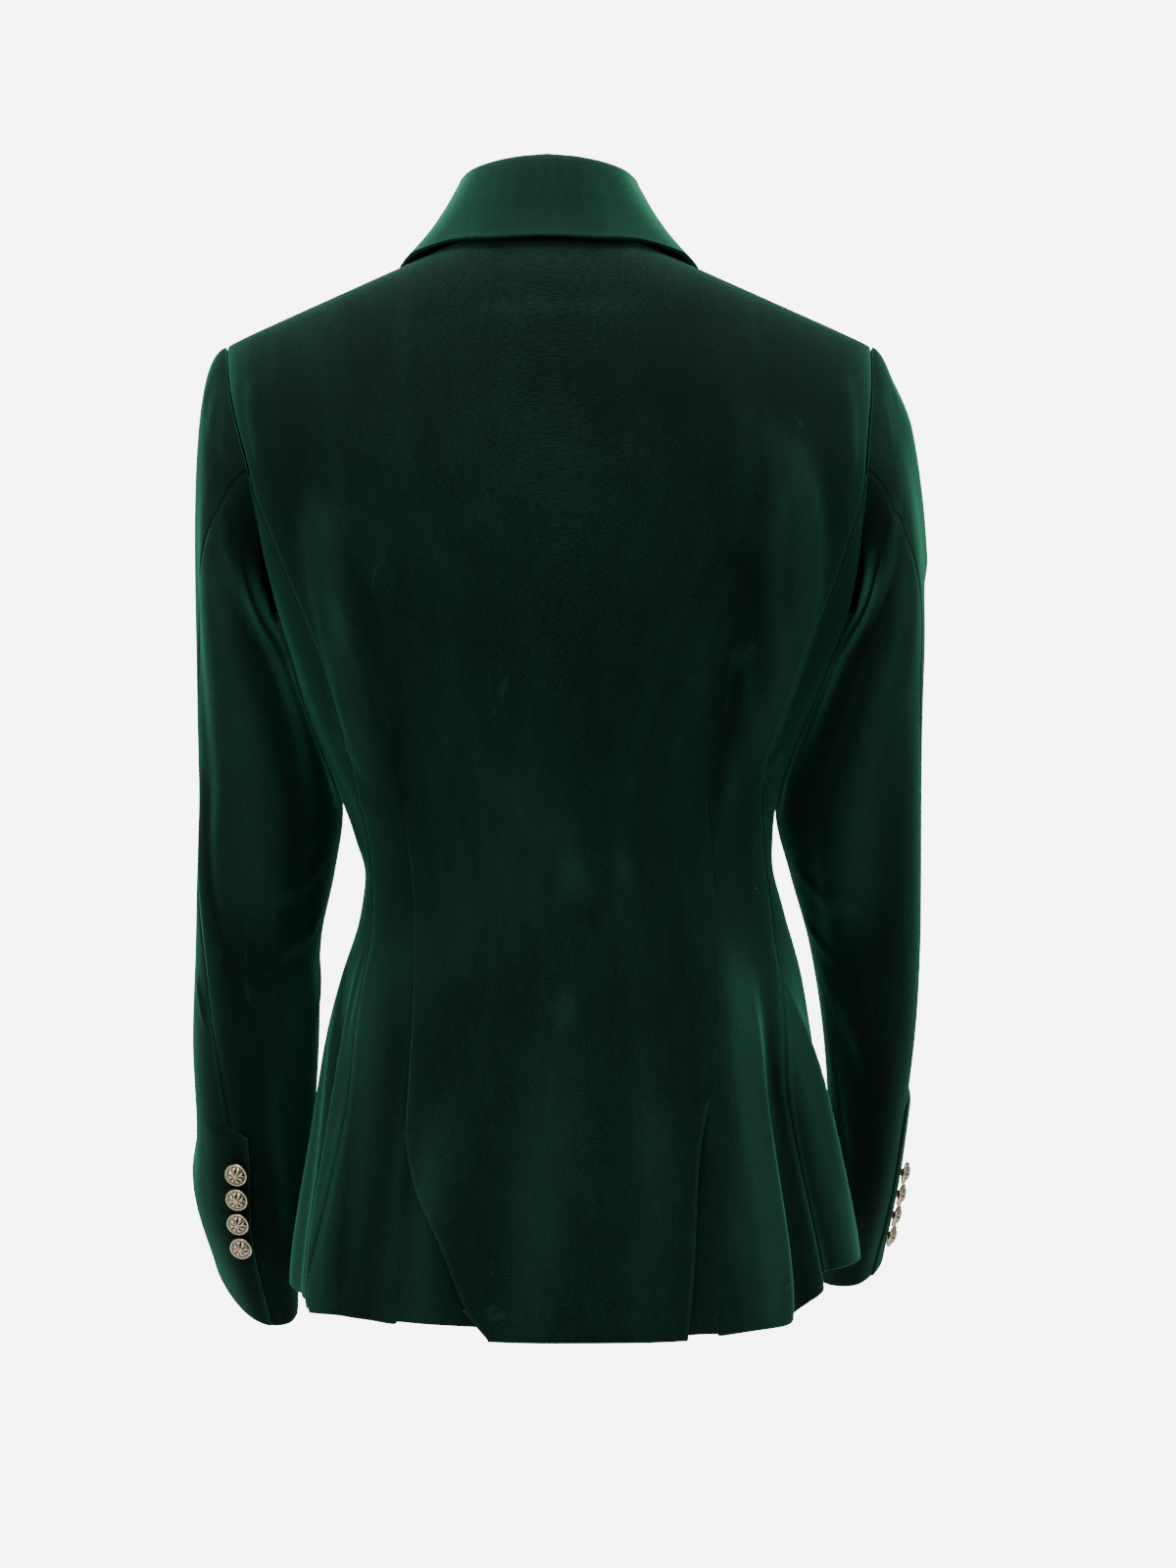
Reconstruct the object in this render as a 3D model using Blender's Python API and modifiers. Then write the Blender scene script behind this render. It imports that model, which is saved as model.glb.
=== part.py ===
"""A fitted velvet blazer, held in the round as it is worn, with nobody in it.

Metres, +Z up. The back of the blazer faces +Y and the wearer's left is +X. The origin lies inside the
neck, midway between the two points where the shoulder seams meet the collar.

The cloth of the body follows one form, given by horizontal sections. A place on the form has an angle
(0 at the centre back, 90 at the wearer's left side, 180 at the centre front) and a climb (-1 at the hem,
0 level with the underarm, 1 along the shoulder seams and the neck).
"""

import math

import bmesh
import bpy
from mathutils import Vector


def table(columns, *rows):
    """Rows of numbers under named columns."""
    return {name: [row[place] for row in rows] for place, name in enumerate(columns.split())}


# Cloth
CLOTH = 0.0015              # velvet with its lining, one wall
COLLAR_CLOTH = 0.0022       # two layers of velvet
SEAM_GAP = 0.0003           # between neighbouring pieces
LAY = 0.0005                # between a piece and the piece that it lies on

# Body
UNDERARM = -0.215           # height of the underarm
HEM = -0.630
NECK_HALF = 0.070           # centre to shoulder seam at the neck
SHOULDER_HALF = 0.196       # centre to shoulder tip
SHOULDER_NECK_Z = -0.0050
SHOULDER_TIP_Z = -0.0560
SHOULDER_SEAM_Y = -0.005
CROWN_Z = 0.0123            # height that the shoulders would rise to in the middle, were no neck cut out
BACK_NECK_DROP = 0.0083     # how deep the neck is cut below that, at the centre back
FRONT_NECK_DROP = 0.0873    # and at the centre front
BACK_NECK_SHAPE = 1.6
FRONT_NECK_SHAPE = 1.0
TOP_SQUARE = 3.0            # squareness of the section at the shoulders
ROUNDING = 2.6              # how late the back and chest turn over into the shoulder
NECK_ROUNDING = 4.0         # and the back, under the collar

BODY = table(
    "height  half_width  back    front  square  centre",
    (-0.645, 0.1700, 0.1300, 0.1220, 2.20, -0.0160),
    (-0.600, 0.1655, 0.1270, 0.1200, 2.20, -0.0160),
    (-0.540, 0.1550, 0.1200, 0.1180, 2.20, -0.0155),
    (-0.490, 0.1465, 0.1110, 0.1140, 2.20, -0.0150),
    (-0.440, 0.1380, 0.0990, 0.1100, 2.20, -0.0150),
    (-0.400, 0.1275, 0.0890, 0.1060, 2.20, -0.0145),
    (-0.365, 0.1225, 0.0840, 0.1050, 2.20, -0.0115),
    (-0.325, 0.1310, 0.0890, 0.1160, 2.25, -0.0070),
    (-0.285, 0.1470, 0.0980, 0.1260, 2.35, -0.0065),
    (-0.250, 0.1610, 0.1030, 0.1250, 2.45, -0.0080),
    (-0.215, 0.1730, 0.1050, 0.1170, 2.60, -0.0090),
    (-0.180, 0.1830, 0.1055, 0.1080, 2.80, -0.0080),
    (-0.140, 0.1905, 0.1040, 0.0990, 3.00, -0.0060),
    (-0.100, 0.1945, 0.1000, 0.0900, 3.00, -0.0025),
    (-0.053, 0.1960, 0.0950, 0.0840, 3.00, 0.0000),
)

# Seams of the body, as distances from the body's centre line
SIDE_SEAM = table(
    "height  reach",
    (-0.645, 0.1500), (-0.610, 0.1460), (-0.537, 0.1325), (-0.490, 0.1250), (-0.440, 0.1205),
    (-0.350, 0.1180), (-0.290, 0.1265), (-0.254, 0.1385), (-0.197, 0.1630), (-0.137, 0.1815),
)
DART = table(
    "height  left    right",
    (-0.645, 0.1000, 0.0785), (-0.524, 0.0970, 0.0770), (-0.490, 0.0955, 0.0800),
    (-0.435, 0.0930, 0.0830), (-0.360, 0.0925, 0.0850), (-0.300, 0.0950, 0.0880),
    (-0.220, 0.0970, 0.0920), (-0.137, 0.1000, 0.0980), (0.0000, 0.1000, 0.1000),
)
FRONT_SEAM_ANGLE = table(
    "climb  angle",
    (-1.0, 124.0), (-0.6, 122.0), (-0.35, 118.0), (-0.1, 116.0), (0.1, 116.0), (0.25, 119.5),
)
FRONT_EDGE = table(
    "height  reach",
    (-0.645, 0.0620), (-0.632, 0.0450), (-0.605, 0.0150), (-0.560, -0.0060), (-0.500, -0.0160),
    (-0.420, -0.0200), (-0.335, -0.0200), (-0.256, 0.0000), (-0.176, 0.0180), (-0.060, 0.0420),
    (-0.015, 0.0520),
)
NECK_CORNER = 167.7         # angle of the corner between the shoulder seam and the neck
BREAK_HEIGHT = -0.335       # where the lapel starts to turn back
OVERLAP_ANGLE = 156.0       # where the right front starts to rise over the left one
OVERLAP_RAMP = 12.0
OVERLAP = table(
    "height  rise",
    (-0.640, 0.0026), (-0.430, 0.0026), (-0.390, 0.0030), (-0.335, 0.0064), (-0.250, 0.0064),
    (-0.190, 0.0000),
)
GORGE_HEIGHT = -0.0596      # where the collar meets the lapel on the roll line

# How much higher than the rest the cloth hangs at the hem: in the back, from the dart line to the side
# seam, and in the side panel, from that seam to the front one
BACK_HEM = table(
    "part  left    right",
    (0.00, 0.000, -0.005), (0.45, 0.000, -0.002), (0.70, 0.000, 0.003), (1.00, -0.001, 0.012),
)
SIDE_HEM = table(
    "part  left    right",
    (0.00, 0.001, 0.022), (0.30, 0.002, 0.022), (1.00, 0.000, 0.006),
)

# Armhole, once round from the shoulder tip over the back and under the arm
ARMHOLE = table(
    "turn    angle   climb",
    (-35.0, 119.0, 0.800), (0.0, 90.0, 1.000), (35.0, 77.5, 0.800), (70.0, 68.5, 0.478),
    (110.0, 73.5, 0.205), (145.0, 80.5, 0.045), (180.0, 92.0, -0.007), (215.0, 106.0, 0.045),
    (250.0, 119.5, 0.250), (290.0, 127.0, 0.520), (325.0, 119.0, 0.800), (360.0, 90.0, 1.000),
    (395.0, 77.5, 0.800),
)
SIDE_SEAM_TURN = 70.0       # where the side seam meets the armhole
FRONT_SEAM_TURN = 250.0

# Vents in the back: how far the flap's edge has drawn in from the dart line, below the vent's top
VENT_TOP_LEFT = -0.524
VENT_TOP_RIGHT = -0.505
VENT_NOTCH = 0.0012
VENT_RAMP = 0.006
FLAP_LIFT = 0.0029
FLAP_HEM = -0.6360
LEFT_FLAP = table(
    "depth  drawn", (0.0, 0.0), (0.030, 0.008), (0.056, 0.018), (0.100, 0.032), (0.1135, 0.040),
)
RIGHT_FLAP = table(
    "depth  drawn", (0.0, 0.0), (0.034, 0.005), (0.095, 0.008), (0.1325, 0.011),
)
UNDERLAP = 0.020            # how far the under piece goes on past the flap's edge
UNDERLAP_SLOPE = 0.6

# Drapes of the body: ridges (rise > 0) and troughs (rise < 0) that run from one place to another
BODY_FOLDS = table(
    "angle_a  climb_a  angle_b  climb_b  width  rise",
    (-44.0, -0.44, -41.0, -1.08, 5.0, 0.0075),
    (-52.0, -0.52, -51.0, -1.08, 5.5, -0.0050),
    (-60.0, -0.46, -76.0, -1.08, 8.0, 0.0070),
    (41.0, -0.46, 44.0, -1.08, 6.0, -0.0035),
    (56.0, -0.42, 60.0, -1.08, 6.5, 0.0075),
    (70.0, -0.55, 77.0, -1.08, 6.0, -0.0040),
    (88.0, -0.46, 92.0, -1.08, 7.0, 0.0055),
    (-92.0, -0.50, -96.0, -1.08, 6.0, -0.0040),
    (-112.0, -0.46, -120.0, -1.08, 7.0, 0.0045),
    (110.0, -0.55, 112.0, -1.08, 6.0, -0.0040),
    (140.0, -0.46, 138.0, -1.08, 8.0, 0.0055),
    (-138.0, -0.46, -136.0, -1.08, 8.0, 0.0055),
    (38.0, 0.40, 54.0, -0.30, 5.5, 0.0050),
    (28.0, 0.10, 44.0, -0.34, 5.0, -0.0025),
    (-33.0, 0.60, -58.0, -0.30, 5.5, 0.0055),
    (-26.0, 0.20, -46.0, -0.36, 5.0, -0.0030),
    (118.0, 0.34, 150.0, -0.16, 7.0, 0.0040),
    (-118.0, 0.34, -150.0, -0.16, 7.0, 0.0040),
    (96.0, -0.02, 84.0, -0.40, 7.0, 0.0035),
    (-96.0, -0.02, -84.0, -0.40, 7.0, 0.0015),
)

# Sleeves, by rings. Inner and outer are the ring's reach in X, back and front its reach in Y, and tilt
# is the angle by which the ring's front is higher than its back.
LEFT_RINGS = table(
    "height  inner   outer   back     front    tilt  yaw",
    (-0.640, 0.1680, 0.2080, -0.0200, -0.1160, 23.0, 27.0),
    (-0.585, 0.1600, 0.2220, -0.0020, -0.1020, 19.0, 20.0),
    (-0.530, 0.1500, 0.2200, 0.0150, -0.0880, 15.0, 12.0),
    (-0.480, 0.1450, 0.2200, 0.0270, -0.0800, 11.0, 6.0),
    (-0.420, 0.1430, 0.2165, 0.0370, -0.0740, 7.0, 2.0),
    (-0.380, 0.1350, 0.2145, 0.0440, -0.0700, 4.0, 0.0),
    (-0.335, 0.1290, 0.2125, 0.0500, -0.0700, 2.0, 0.0),
    (-0.290, 0.1400, 0.2130, 0.0570, -0.0760, 0.0, 0.0),
    (-0.248, 0.1560, 0.2135, 0.0600, -0.0840, 0.0, 0.0),
)
RIGHT_RINGS = table(
    "height  inner   outer   back     front    tilt  yaw",
    (-0.628, 0.1780, 0.2190, -0.0880, -0.1840, 24.0, 12.0),
    (-0.570, 0.1810, 0.2235, -0.0450, -0.1460, 27.0, 8.0),
    (-0.515, 0.1780, 0.2260, -0.0140, -0.1180, 25.0, 4.0),
    (-0.465, 0.1715, 0.2275, 0.0130, -0.0940, 19.0, 0.0),
    (-0.420, 0.1625, 0.2280, 0.0310, -0.0800, 12.0, 0.0),
    (-0.380, 0.1510, 0.2275, 0.0420, -0.0740, 7.0, 0.0),
    (-0.335, 0.1410, 0.2270, 0.0500, -0.0720, 3.0, 0.0),
    (-0.290, 0.1540, 0.2270, 0.0560, -0.0760, 0.0, 0.0),
    (-0.248, 0.1690, 0.2280, 0.0600, -0.0840, 0.0, 0.0),
)
SLEEVE_SQUARE = 2.3
CAP_END = 0.30              # the part of a sleeve's length that its cap takes up
LEFT_HEAD = 0.024           # how far the cap's top leads out before it turns down
RIGHT_HEAD = 0.017
UNDERARM_STEP = 0.0042      # how far out the sleeve starts under the arm
BESIDE = 0.0060             # how near a sleeve comes to the side of the body that it hangs against
BESIDE_SOFT = 0.0015        # how softly it is kept there
BESIDE_TOP = -0.205
BESIDE_BOTTOM = -0.370
LEFT_SLEEVE_SEAMS = table(
    "along  hindarm  forearm",
    (0.00, 70.0, -110.0), (0.20, 52.0, -110.0), (0.30, 34.0, -114.0), (0.41, 16.0, -128.0),
    (0.53, 22.0, -142.0), (0.61, 43.0, -150.0), (0.71, 60.0, -150.0), (0.80, 65.0, -148.0),
    (0.90, 63.0, -146.0), (1.00, 60.0, -145.0),
)
RIGHT_SLEEVE_SEAMS = table(
    "along  hindarm  forearm",
    (0.00, 70.0, -110.0), (0.20, 56.0, -110.0), (0.30, 42.0, -114.0), (0.45, 18.0, -132.0),
    (0.62, 8.0, -150.0), (0.80, 16.0, -150.0), (1.00, 26.0, -148.0),
)
LEFT_SLEEVE_FOLDS = table(
    "turn_a  along_a  turn_b  along_b  width  rise",
    (72.0, 0.08, 100.0, 0.62, 22.0, 0.0060),
    (118.0, 0.18, 150.0, 0.66, 20.0, -0.0045),
    (150.0, 0.50, 122.0, 0.94, 22.0, 0.0050),
    (40.0, 0.08, 46.0, 0.50, 14.0, -0.0030),
    (-40.0, 0.12, -20.0, 0.58, 15.0, 0.0050),
    (-95.0, 0.30, -70.0, 0.78, 15.0, -0.0050),
    (-30.0, 0.58, -14.0, 0.88, 14.0, -0.0030),
    (-150.0, 0.45, -120.0, 0.80, 18.0, 0.0040),
)
RIGHT_SLEEVE_FOLDS = table(
    "turn_a  along_a  turn_b  along_b  width  rise",
    (12.0, 0.06, -4.0, 0.26, 20.0, 0.0050),
    (50.0, 0.08, 108.0, 0.62, 22.0, 0.0065),
    (96.0, 0.16, 150.0, 0.66, 20.0, -0.0045),
    (150.0, 0.58, 124.0, 1.08, 20.0, 0.0055),
    (104.0, 0.62, 84.0, 1.08, 18.0, -0.0035),
    (-40.0, 0.15, -20.0, 0.60, 15.0, 0.0050),
    (-95.0, 0.30, -70.0, 0.78, 15.0, -0.0050),
    (-150.0, 0.45, -120.0, 0.80, 18.0, 0.0040),
)
CUFF_VENT_ALONG = 0.785     # where the cuff's vent starts, as a part of the sleeve's length
CUFF_LAP_DEGREES = 15.0     # how far round the top sleeve laps over the under sleeve there
CUFF_LIFT = 0.0027
CUFF_CLEAR_DEGREES = 1.5    # how far the under sleeve keeps back from the seam there

# Collar: its seam along the neck, the roll at the top of its fold, and its edge as seen from above
COLLAR = table(
    "station  seam_x   seam_y   roll_x   roll_y   roll_z   edge_x   edge_y   bow",
    (0.00, 0.0000, 0.0560, 0.0000, 0.0590, 0.0465, 0.0000, 0.0680, 0.000),
    (0.20, 0.0240, 0.0525, 0.0190, 0.0555, 0.0455, 0.0290, 0.0645, 0.000),
    (0.40, 0.0460, 0.0410, 0.0370, 0.0430, 0.0440, 0.0560, 0.0500, -0.001),
    (0.55, 0.0610, 0.0230, 0.0470, 0.0240, 0.0430, 0.0740, 0.0370, -0.002),
    (0.70, 0.0690, 0.0010, 0.0510, 0.0000, 0.0400, 0.0860, 0.0060, -0.002),
    (0.85, 0.0650, -0.0250, 0.0510, -0.0270, 0.0150, 0.0930, -0.0320, 0.000),
    (0.93, 0.0525, -0.0415, 0.0500, -0.0560, -0.0080, 0.0945, -0.0560, 0.000),
)
ROLL_RADIUS = 0.004
COLLAR_LIFT = 0.0022        # how far the collar's edge stands off the body
COLLAR_SEAM_LIFT = 0.0022   # its seam, above the body
COLLAR_INSET = 0.0026       # and inside the neck
COLLAR_CLEAR = 0.0050       # least distance of its fall from the body's inner face
COLLAR_TURNS = (180.0, 120.0, 60.0, 0.0)
FALL_PLACES = 3
COLLAR_END_STAND = table("in_neck  down", (0.0060, 0.0065), (0.0035, 0.0030))
COLLAR_END_RADIUS = 0.0012  # the roll where the collar meets the lapel
COLLAR_FRONT = table(
    "across  above   lift",
    (0.016, 0.0000, 0.0072), (0.036, 0.0000, 0.0058), (0.052, 0.0200, 0.0050),
)

# Lapel: how far its edge lies out from the roll line, and the slope of its top
LAPEL = table("part  width", (0.0, 0.004), (0.25, 0.030), (0.55, 0.053), (0.85, 0.074), (1.0, 0.080))
LAPEL_TOP_DROP = 0.022
LAPEL_LIFT = 0.0022         # between the front and the lapel that lies on it
LAPEL_BOW = 0.0006
GORGE_GAP = 0.0017          # from the gorge down to the lapel's top edge

# Buttons
CUFF_BUTTON_RADIUS = 0.0072
CUFF_BUTTON_PITCH = 0.0150
CUFF_BUTTONS = 4
LEFT_BUTTON_START = 0.831   # place of the first button, as a part of the sleeve's length
RIGHT_BUTTON_START = 0.872
SLEEVE_LENGTH = 0.56
BUTTON_TURN = 5.0           # how far round from the hindarm seam the buttons stand
BUTTON_STEPS = 12
FRONT_BUTTON_RADIUS = 0.0110
FRONT_BUTTON_HEIGHT = -0.352

# Cells of the sheets
BODY_RADIUS = 0.115         # turns a distance round the back into an angle
VENT_CELLS = 6
HIP_CELLS = 13              # from the vent up to the underarm
CHEST_CELLS = 4             # from there to the top of the side seam
SHOULDER_CELLS = 8          # from there to the shoulder seam
SIDE_CELLS = 7
FLAP_CELLS = 14
UNDERLAP_CELLS = 4
PANEL_CELLS = 9
FRONT_CELLS = 8              # from the side to below the neck's corner
NECK_CELLS = 3               # from there to the front edge
FRONT_TOP_CELLS = 7
CAP_ROWS = 8
SLEEVE_ROWS = 17
COLLAR_CELLS = 28
LAPEL_ROWS = 13
LAPEL_CELLS = 6

GREEN = (0.006, 0.030, 0.021, 1.0)
LIGHT_GREEN = (0.009, 0.042, 0.029, 1.0)
PALE_GOLD = (0.62, 0.52, 0.36, 1.0)


def read(rows, column, at):
    """A column's value between its rows, on a smooth curve over the first column."""
    keys = next(iter(rows.values()))
    values = rows[column]
    if at <= keys[0]:
        return values[0]
    if at >= keys[-1]:
        return values[-1]
    place = max(index for index, key in enumerate(keys) if key <= at)
    low, high = max(place - 1, 0), min(place + 2, len(keys) - 1)
    span = keys[place + 1] - keys[place]
    part = (at - keys[place]) / span
    slope_a = (values[place + 1] - values[low]) / (keys[place + 1] - keys[low]) * span
    slope_b = (values[high] - values[place]) / (keys[high] - keys[place]) * span
    a = 2 * part ** 3 - 3 * part ** 2 + 1
    b = part ** 3 - 2 * part ** 2 + part
    c = part ** 3 - part ** 2
    return a * values[place] + b * slope_a + (1 - a) * values[place + 1] + c * slope_b


def mix(a, b, part):
    return a + (b - a) * part


def smooth(part):
    """0 to 1 with level ends."""
    part = min(max(part, 0.0), 1.0)
    return part * part * (3 - 2 * part)


def rounded(value, square):
    """A sine or cosine bent so that a circle becomes a squarer oval."""
    return math.copysign(abs(value) ** (2 / square), value)


# ---------------------------------------------------------------- the form of the body

def shoulder_reach(angle):
    """How far to the side an angle lies at the level of the shoulders."""
    return SHOULDER_HALF * abs(rounded(math.sin(math.radians(angle)), TOP_SQUARE))


def crown(angle):
    """Height of the shoulders, carried on smoothly over the place of the neck."""
    reach = shoulder_reach(angle)
    slope = (SHOULDER_TIP_Z - SHOULDER_NECK_Z) / (SHOULDER_HALF - NECK_HALF)
    if reach >= NECK_HALF:
        return SHOULDER_NECK_Z + slope * (reach - NECK_HALF)
    part = reach / NECK_HALF
    return (mix(CROWN_Z, SHOULDER_NECK_Z, smooth(part))
            + slope * NECK_HALF * (part ** 3 - part ** 2))


def top_of(angle):
    """Height of the shoulder seam or the neck's edge at an angle."""
    part = min(shoulder_reach(angle) / NECK_HALF, 1.0)
    behind = math.cos(math.radians(angle)) > 0
    drop = BACK_NECK_DROP if behind else FRONT_NECK_DROP
    shape = BACK_NECK_SHAPE if behind else FRONT_NECK_SHAPE
    return crown(angle) - drop * (1 - part ** 2) ** shape


def height_at(angle, climb):
    if climb <= 0:
        return UNDERARM + climb * (UNDERARM - HEM)
    return mix(UNDERARM, top_of(angle), climb)


def climb_at(angle, height):
    if height <= UNDERARM:
        return (height - UNDERARM) / (UNDERARM - HEM)
    return (height - UNDERARM) / (top_of(angle) - UNDERARM)


def angle_at(reach, height, facing):
    """Angle of a place that is this far to the side of the centre line, on the back or the front."""
    part = min(abs(reach) / read(BODY, "half_width", height), 1.0)
    angle = math.degrees(math.asin(part ** (read(BODY, "square", height) / 2)))
    angle = math.copysign(angle, reach)
    return angle if facing == "back" else 180 - angle


def drape(folds, around, along):
    """How far the drapes push the cloth out at a place."""
    total = 0.0
    for around_a, along_a, around_b, along_b, width, rise in zip(*folds.values()):
        part = (along - along_a) / (along_b - along_a)
        if not 0 < part < 1:
            continue
        away = (around - mix(around_a, around_b, part) + 180) % 360 - 180
        fade = smooth(part * 3) * smooth((1 - part) * 6)
        total += rise * fade * math.exp(-(away / width) ** 2)
    return total


def plain(angle, climb):
    """A place on the form without its drapes."""
    height = height_at(angle, climb)
    sine, cosine = math.sin(math.radians(angle)), math.cos(math.radians(angle))
    square = read(BODY, "square", height)
    x = read(BODY, "half_width", height) * rounded(sine, square)
    y = read(BODY, "back" if cosine > 0 else "front", height) * rounded(cosine, square)
    if climb > 0:
        rise = min((height - UNDERARM) / (crown(angle) - UNDERARM), 1.0)
        late = ROUNDING
        if cosine > 0:
            late = mix(NECK_ROUNDING, ROUNDING, smooth(shoulder_reach(angle) / SHOULDER_HALF))
        y = mix(SHOULDER_SEAM_Y, y, (1 - rise ** late) ** (1 / late))
    return Vector((x + read(BODY, "centre", height), y, height))


def normal_of(angle, climb):
    """Outward direction of the undraped form."""
    step = 0.004
    low, high = max(climb - step, -1.05), min(climb + step, 1.0)
    around = plain(angle + 0.4, climb) - plain(angle - 0.4, climb)
    up = plain(angle, high) - plain(angle, low)
    return up.cross(around).normalized()


def body(angle, climb, out=0.0):
    """A place on the draped form, moved out by a distance."""
    out += drape(BODY_FOLDS, angle, climb)
    return plain(angle, climb) + normal_of(angle, climb) * out


def side_seam_angle(side, climb):
    """Angle of the side seam, for side 1 on the left and -1 on the right."""
    height = height_at(side * 70, climb)
    angle = angle_at(side * read(SIDE_SEAM, "reach", height), height, "back")
    top = read(ARMHOLE, "climb", SIDE_SEAM_TURN)
    meet = side * read(ARMHOLE, "angle", SIDE_SEAM_TURN)
    return mix(angle, meet, smooth((climb / top - 0.4) / 0.6))


def dart_angle(side, climb):
    height = height_at(side * 30, climb)
    reach = read(DART, "left" if side > 0 else "right", height)
    return angle_at(side * reach, height, "back")


def armhole_turn(climb, low, high):
    """Turn between two turns at which the armhole reaches a climb."""
    rising = read(ARMHOLE, "climb", high) > read(ARMHOLE, "climb", low)
    for _ in range(40):
        middle = (low + high) / 2
        if (read(ARMHOLE, "climb", middle) < climb) == rising:
            low = middle
        else:
            high = middle
    return (low + high) / 2


# ---------------------------------------------------------------- building pieces

def inset(rows, left=True, right=True, top=True):
    """Draws the edges of a sheet in by half a seam's gap."""
    half = SEAM_GAP / 2
    moved = [list(row) for row in rows]
    for row, old in zip(moved, rows):
        if left:
            row[0] = old[0] + (old[1] - old[0]).normalized() * half
        if right:
            row[-1] = old[-1] + (old[-2] - old[-1]).normalized() * half
    if top:
        for column, (last, before) in enumerate(zip(moved[-1], moved[-2])):
            moved[-1][column] = last + (before - last).normalized() * half
    return moved


def add_rows(mesh, rows):
    """Faces of a sheet whose rows are lists of places."""
    verts = [[mesh.verts.new(place) for place in row] for row in rows]
    for low, high in zip(verts, verts[1:]):
        for column in range(len(low) - 1):
            mesh.faces.new((low[column], high[column], high[column + 1], low[column + 1]))


def sheet(name, parts, inside, colour, thickness=CLOTH):
    """A wall of cloth on one or more sheets of places, which are joined where they meet.

    The places are the wall's inner face, or its outer face where the thickness is negative.
    """
    shape = bmesh.new()
    for rows in parts:
        add_rows(shape, rows)
    bmesh.ops.remove_doubles(shape, verts=shape.verts, dist=0.00002)
    bmesh.ops.recalc_face_normals(shape, faces=shape.faces)
    shape.normal_update()
    facing = sum(face.normal.dot(face.calc_center_median() - inside) * face.calc_area()
                 for face in shape.faces)
    if facing < 0:
        bmesh.ops.reverse_faces(shape, faces=shape.faces)
    mesh = bpy.data.meshes.new(name)
    shape.to_mesh(mesh)
    shape.free()
    piece = bpy.data.objects.new(name, mesh)
    blazer.objects.link(piece)
    wall = piece.modifiers.new("wall", "SOLIDIFY")
    wall.thickness = abs(thickness)
    wall.offset = 1.0 if thickness > 0 else -1.0
    wall.use_even_offset = False
    mesh.materials.append(colour)
    mesh.shade_smooth()
    mesh.set_sharp_from_angle(angle=math.radians(50))
    return piece


def material(name, colour, roughness, metallic=0.0, sheen=0.0):
    finish = bpy.data.materials.new(name)
    finish.use_nodes = True
    shader = finish.node_tree.nodes["Principled BSDF"]
    shader.inputs["Base Color"].default_value = colour
    shader.inputs["Roughness"].default_value = roughness
    shader.inputs["Metallic"].default_value = metallic
    shader.inputs["Sheen Weight"].default_value = sheen
    finish.diffuse_color = colour
    return finish


def spread(start, end, count):
    return [mix(start, end, index / count) for index in range(count + 1)]


# ---------------------------------------------------------------- back

def vent_top(side):
    return climb_at(0, VENT_TOP_LEFT if side > 0 else VENT_TOP_RIGHT)


def drawn_in(side, climb):
    """How far the flap's edge lies in from the dart line."""
    depth = (vent_top(side) - climb) * (UNDERARM - HEM)
    return read(LEFT_FLAP if side > 0 else RIGHT_FLAP, "drawn", depth)


def back_edge(side, climb):
    """Angle of the back's outer edge: the side seam, then the armhole."""
    if climb <= read(ARMHOLE, "climb", SIDE_SEAM_TURN):
        return side_seam_angle(side, climb)
    turn = armhole_turn(climb, 0.0, SIDE_SEAM_TURN)
    return side * read(ARMHOLE, "angle", turn)


def vent_rows(side, hem):
    """Climbs below a vent's top, from the hem up, close together at the top."""
    top, low = vent_top(side), climb_at(0, hem)
    close = VENT_RAMP / (UNDERARM - HEM)
    return spread(low, top - close, VENT_CELLS) + [top]


def back_rows_above(side):
    """Climbs from a vent's top up to the shoulder."""
    seam_top = read(ARMHOLE, "climb", SIDE_SEAM_TURN)
    start = math.asin(seam_top)
    return (spread(vent_top(side), 0.0, HIP_CELLS)[1:]
            + spread(0.0, seam_top, CHEST_CELLS)[1:]
            + [math.sin(part) for part in spread(start, math.pi / 2, SHOULDER_CELLS)][1:])


def back_climbs(side):
    return vent_rows(side, HEM) + back_rows_above(side)


def hung(side, part, climb):
    """A climb moved by the unevenness of the back's hem."""
    top = vent_top(side)
    lifted = read(BACK_HEM, "left" if side > 0 else "right", part) / (UNDERARM - HEM)
    return climb + lifted * smooth((top - climb) / (top + 1.0))


def flap_out(side_part, climb_left, climb_right, climb):
    """How far the flap stands off: at once at its edges, slowly in the middle."""
    total = 0.0
    for top, away in ((climb_left, 1 - side_part), (climb_right, side_part)):
        depth = (top - climb) * (UNDERARM - HEM)
        ramp = mix(VENT_RAMP, 0.050, smooth(away * 2.2))
        total = max(total, smooth(depth / ramp) * FLAP_LIFT)
    return total


def degrees_round(distance):
    """Angle that a distance round the back takes up."""
    return math.degrees(distance / BODY_RADIUS)


def flap_rows():
    """The middle of the back, whose lower part is the flap between the vents."""
    right_climbs = vent_rows(-1, FLAP_HEM) + back_rows_above(-1)
    left_climbs = vent_rows(1, FLAP_HEM) + back_rows_above(1)
    rows = []
    for right_climb, left_climb in zip(right_climbs, left_climbs):
        row = []
        for part in spread(0.0, 1.0, FLAP_CELLS):
            climb = mix(right_climb, left_climb, part)
            right = dart_angle(-1, climb) + degrees_round(drawn_in(-1, climb))
            left = dart_angle(1, climb) - degrees_round(drawn_in(1, climb))
            out = flap_out(part, vent_top(1), vent_top(-1), climb)
            row.append(body(mix(right, left, part), climb, out))
        rows.append(row)
    return rows


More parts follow.
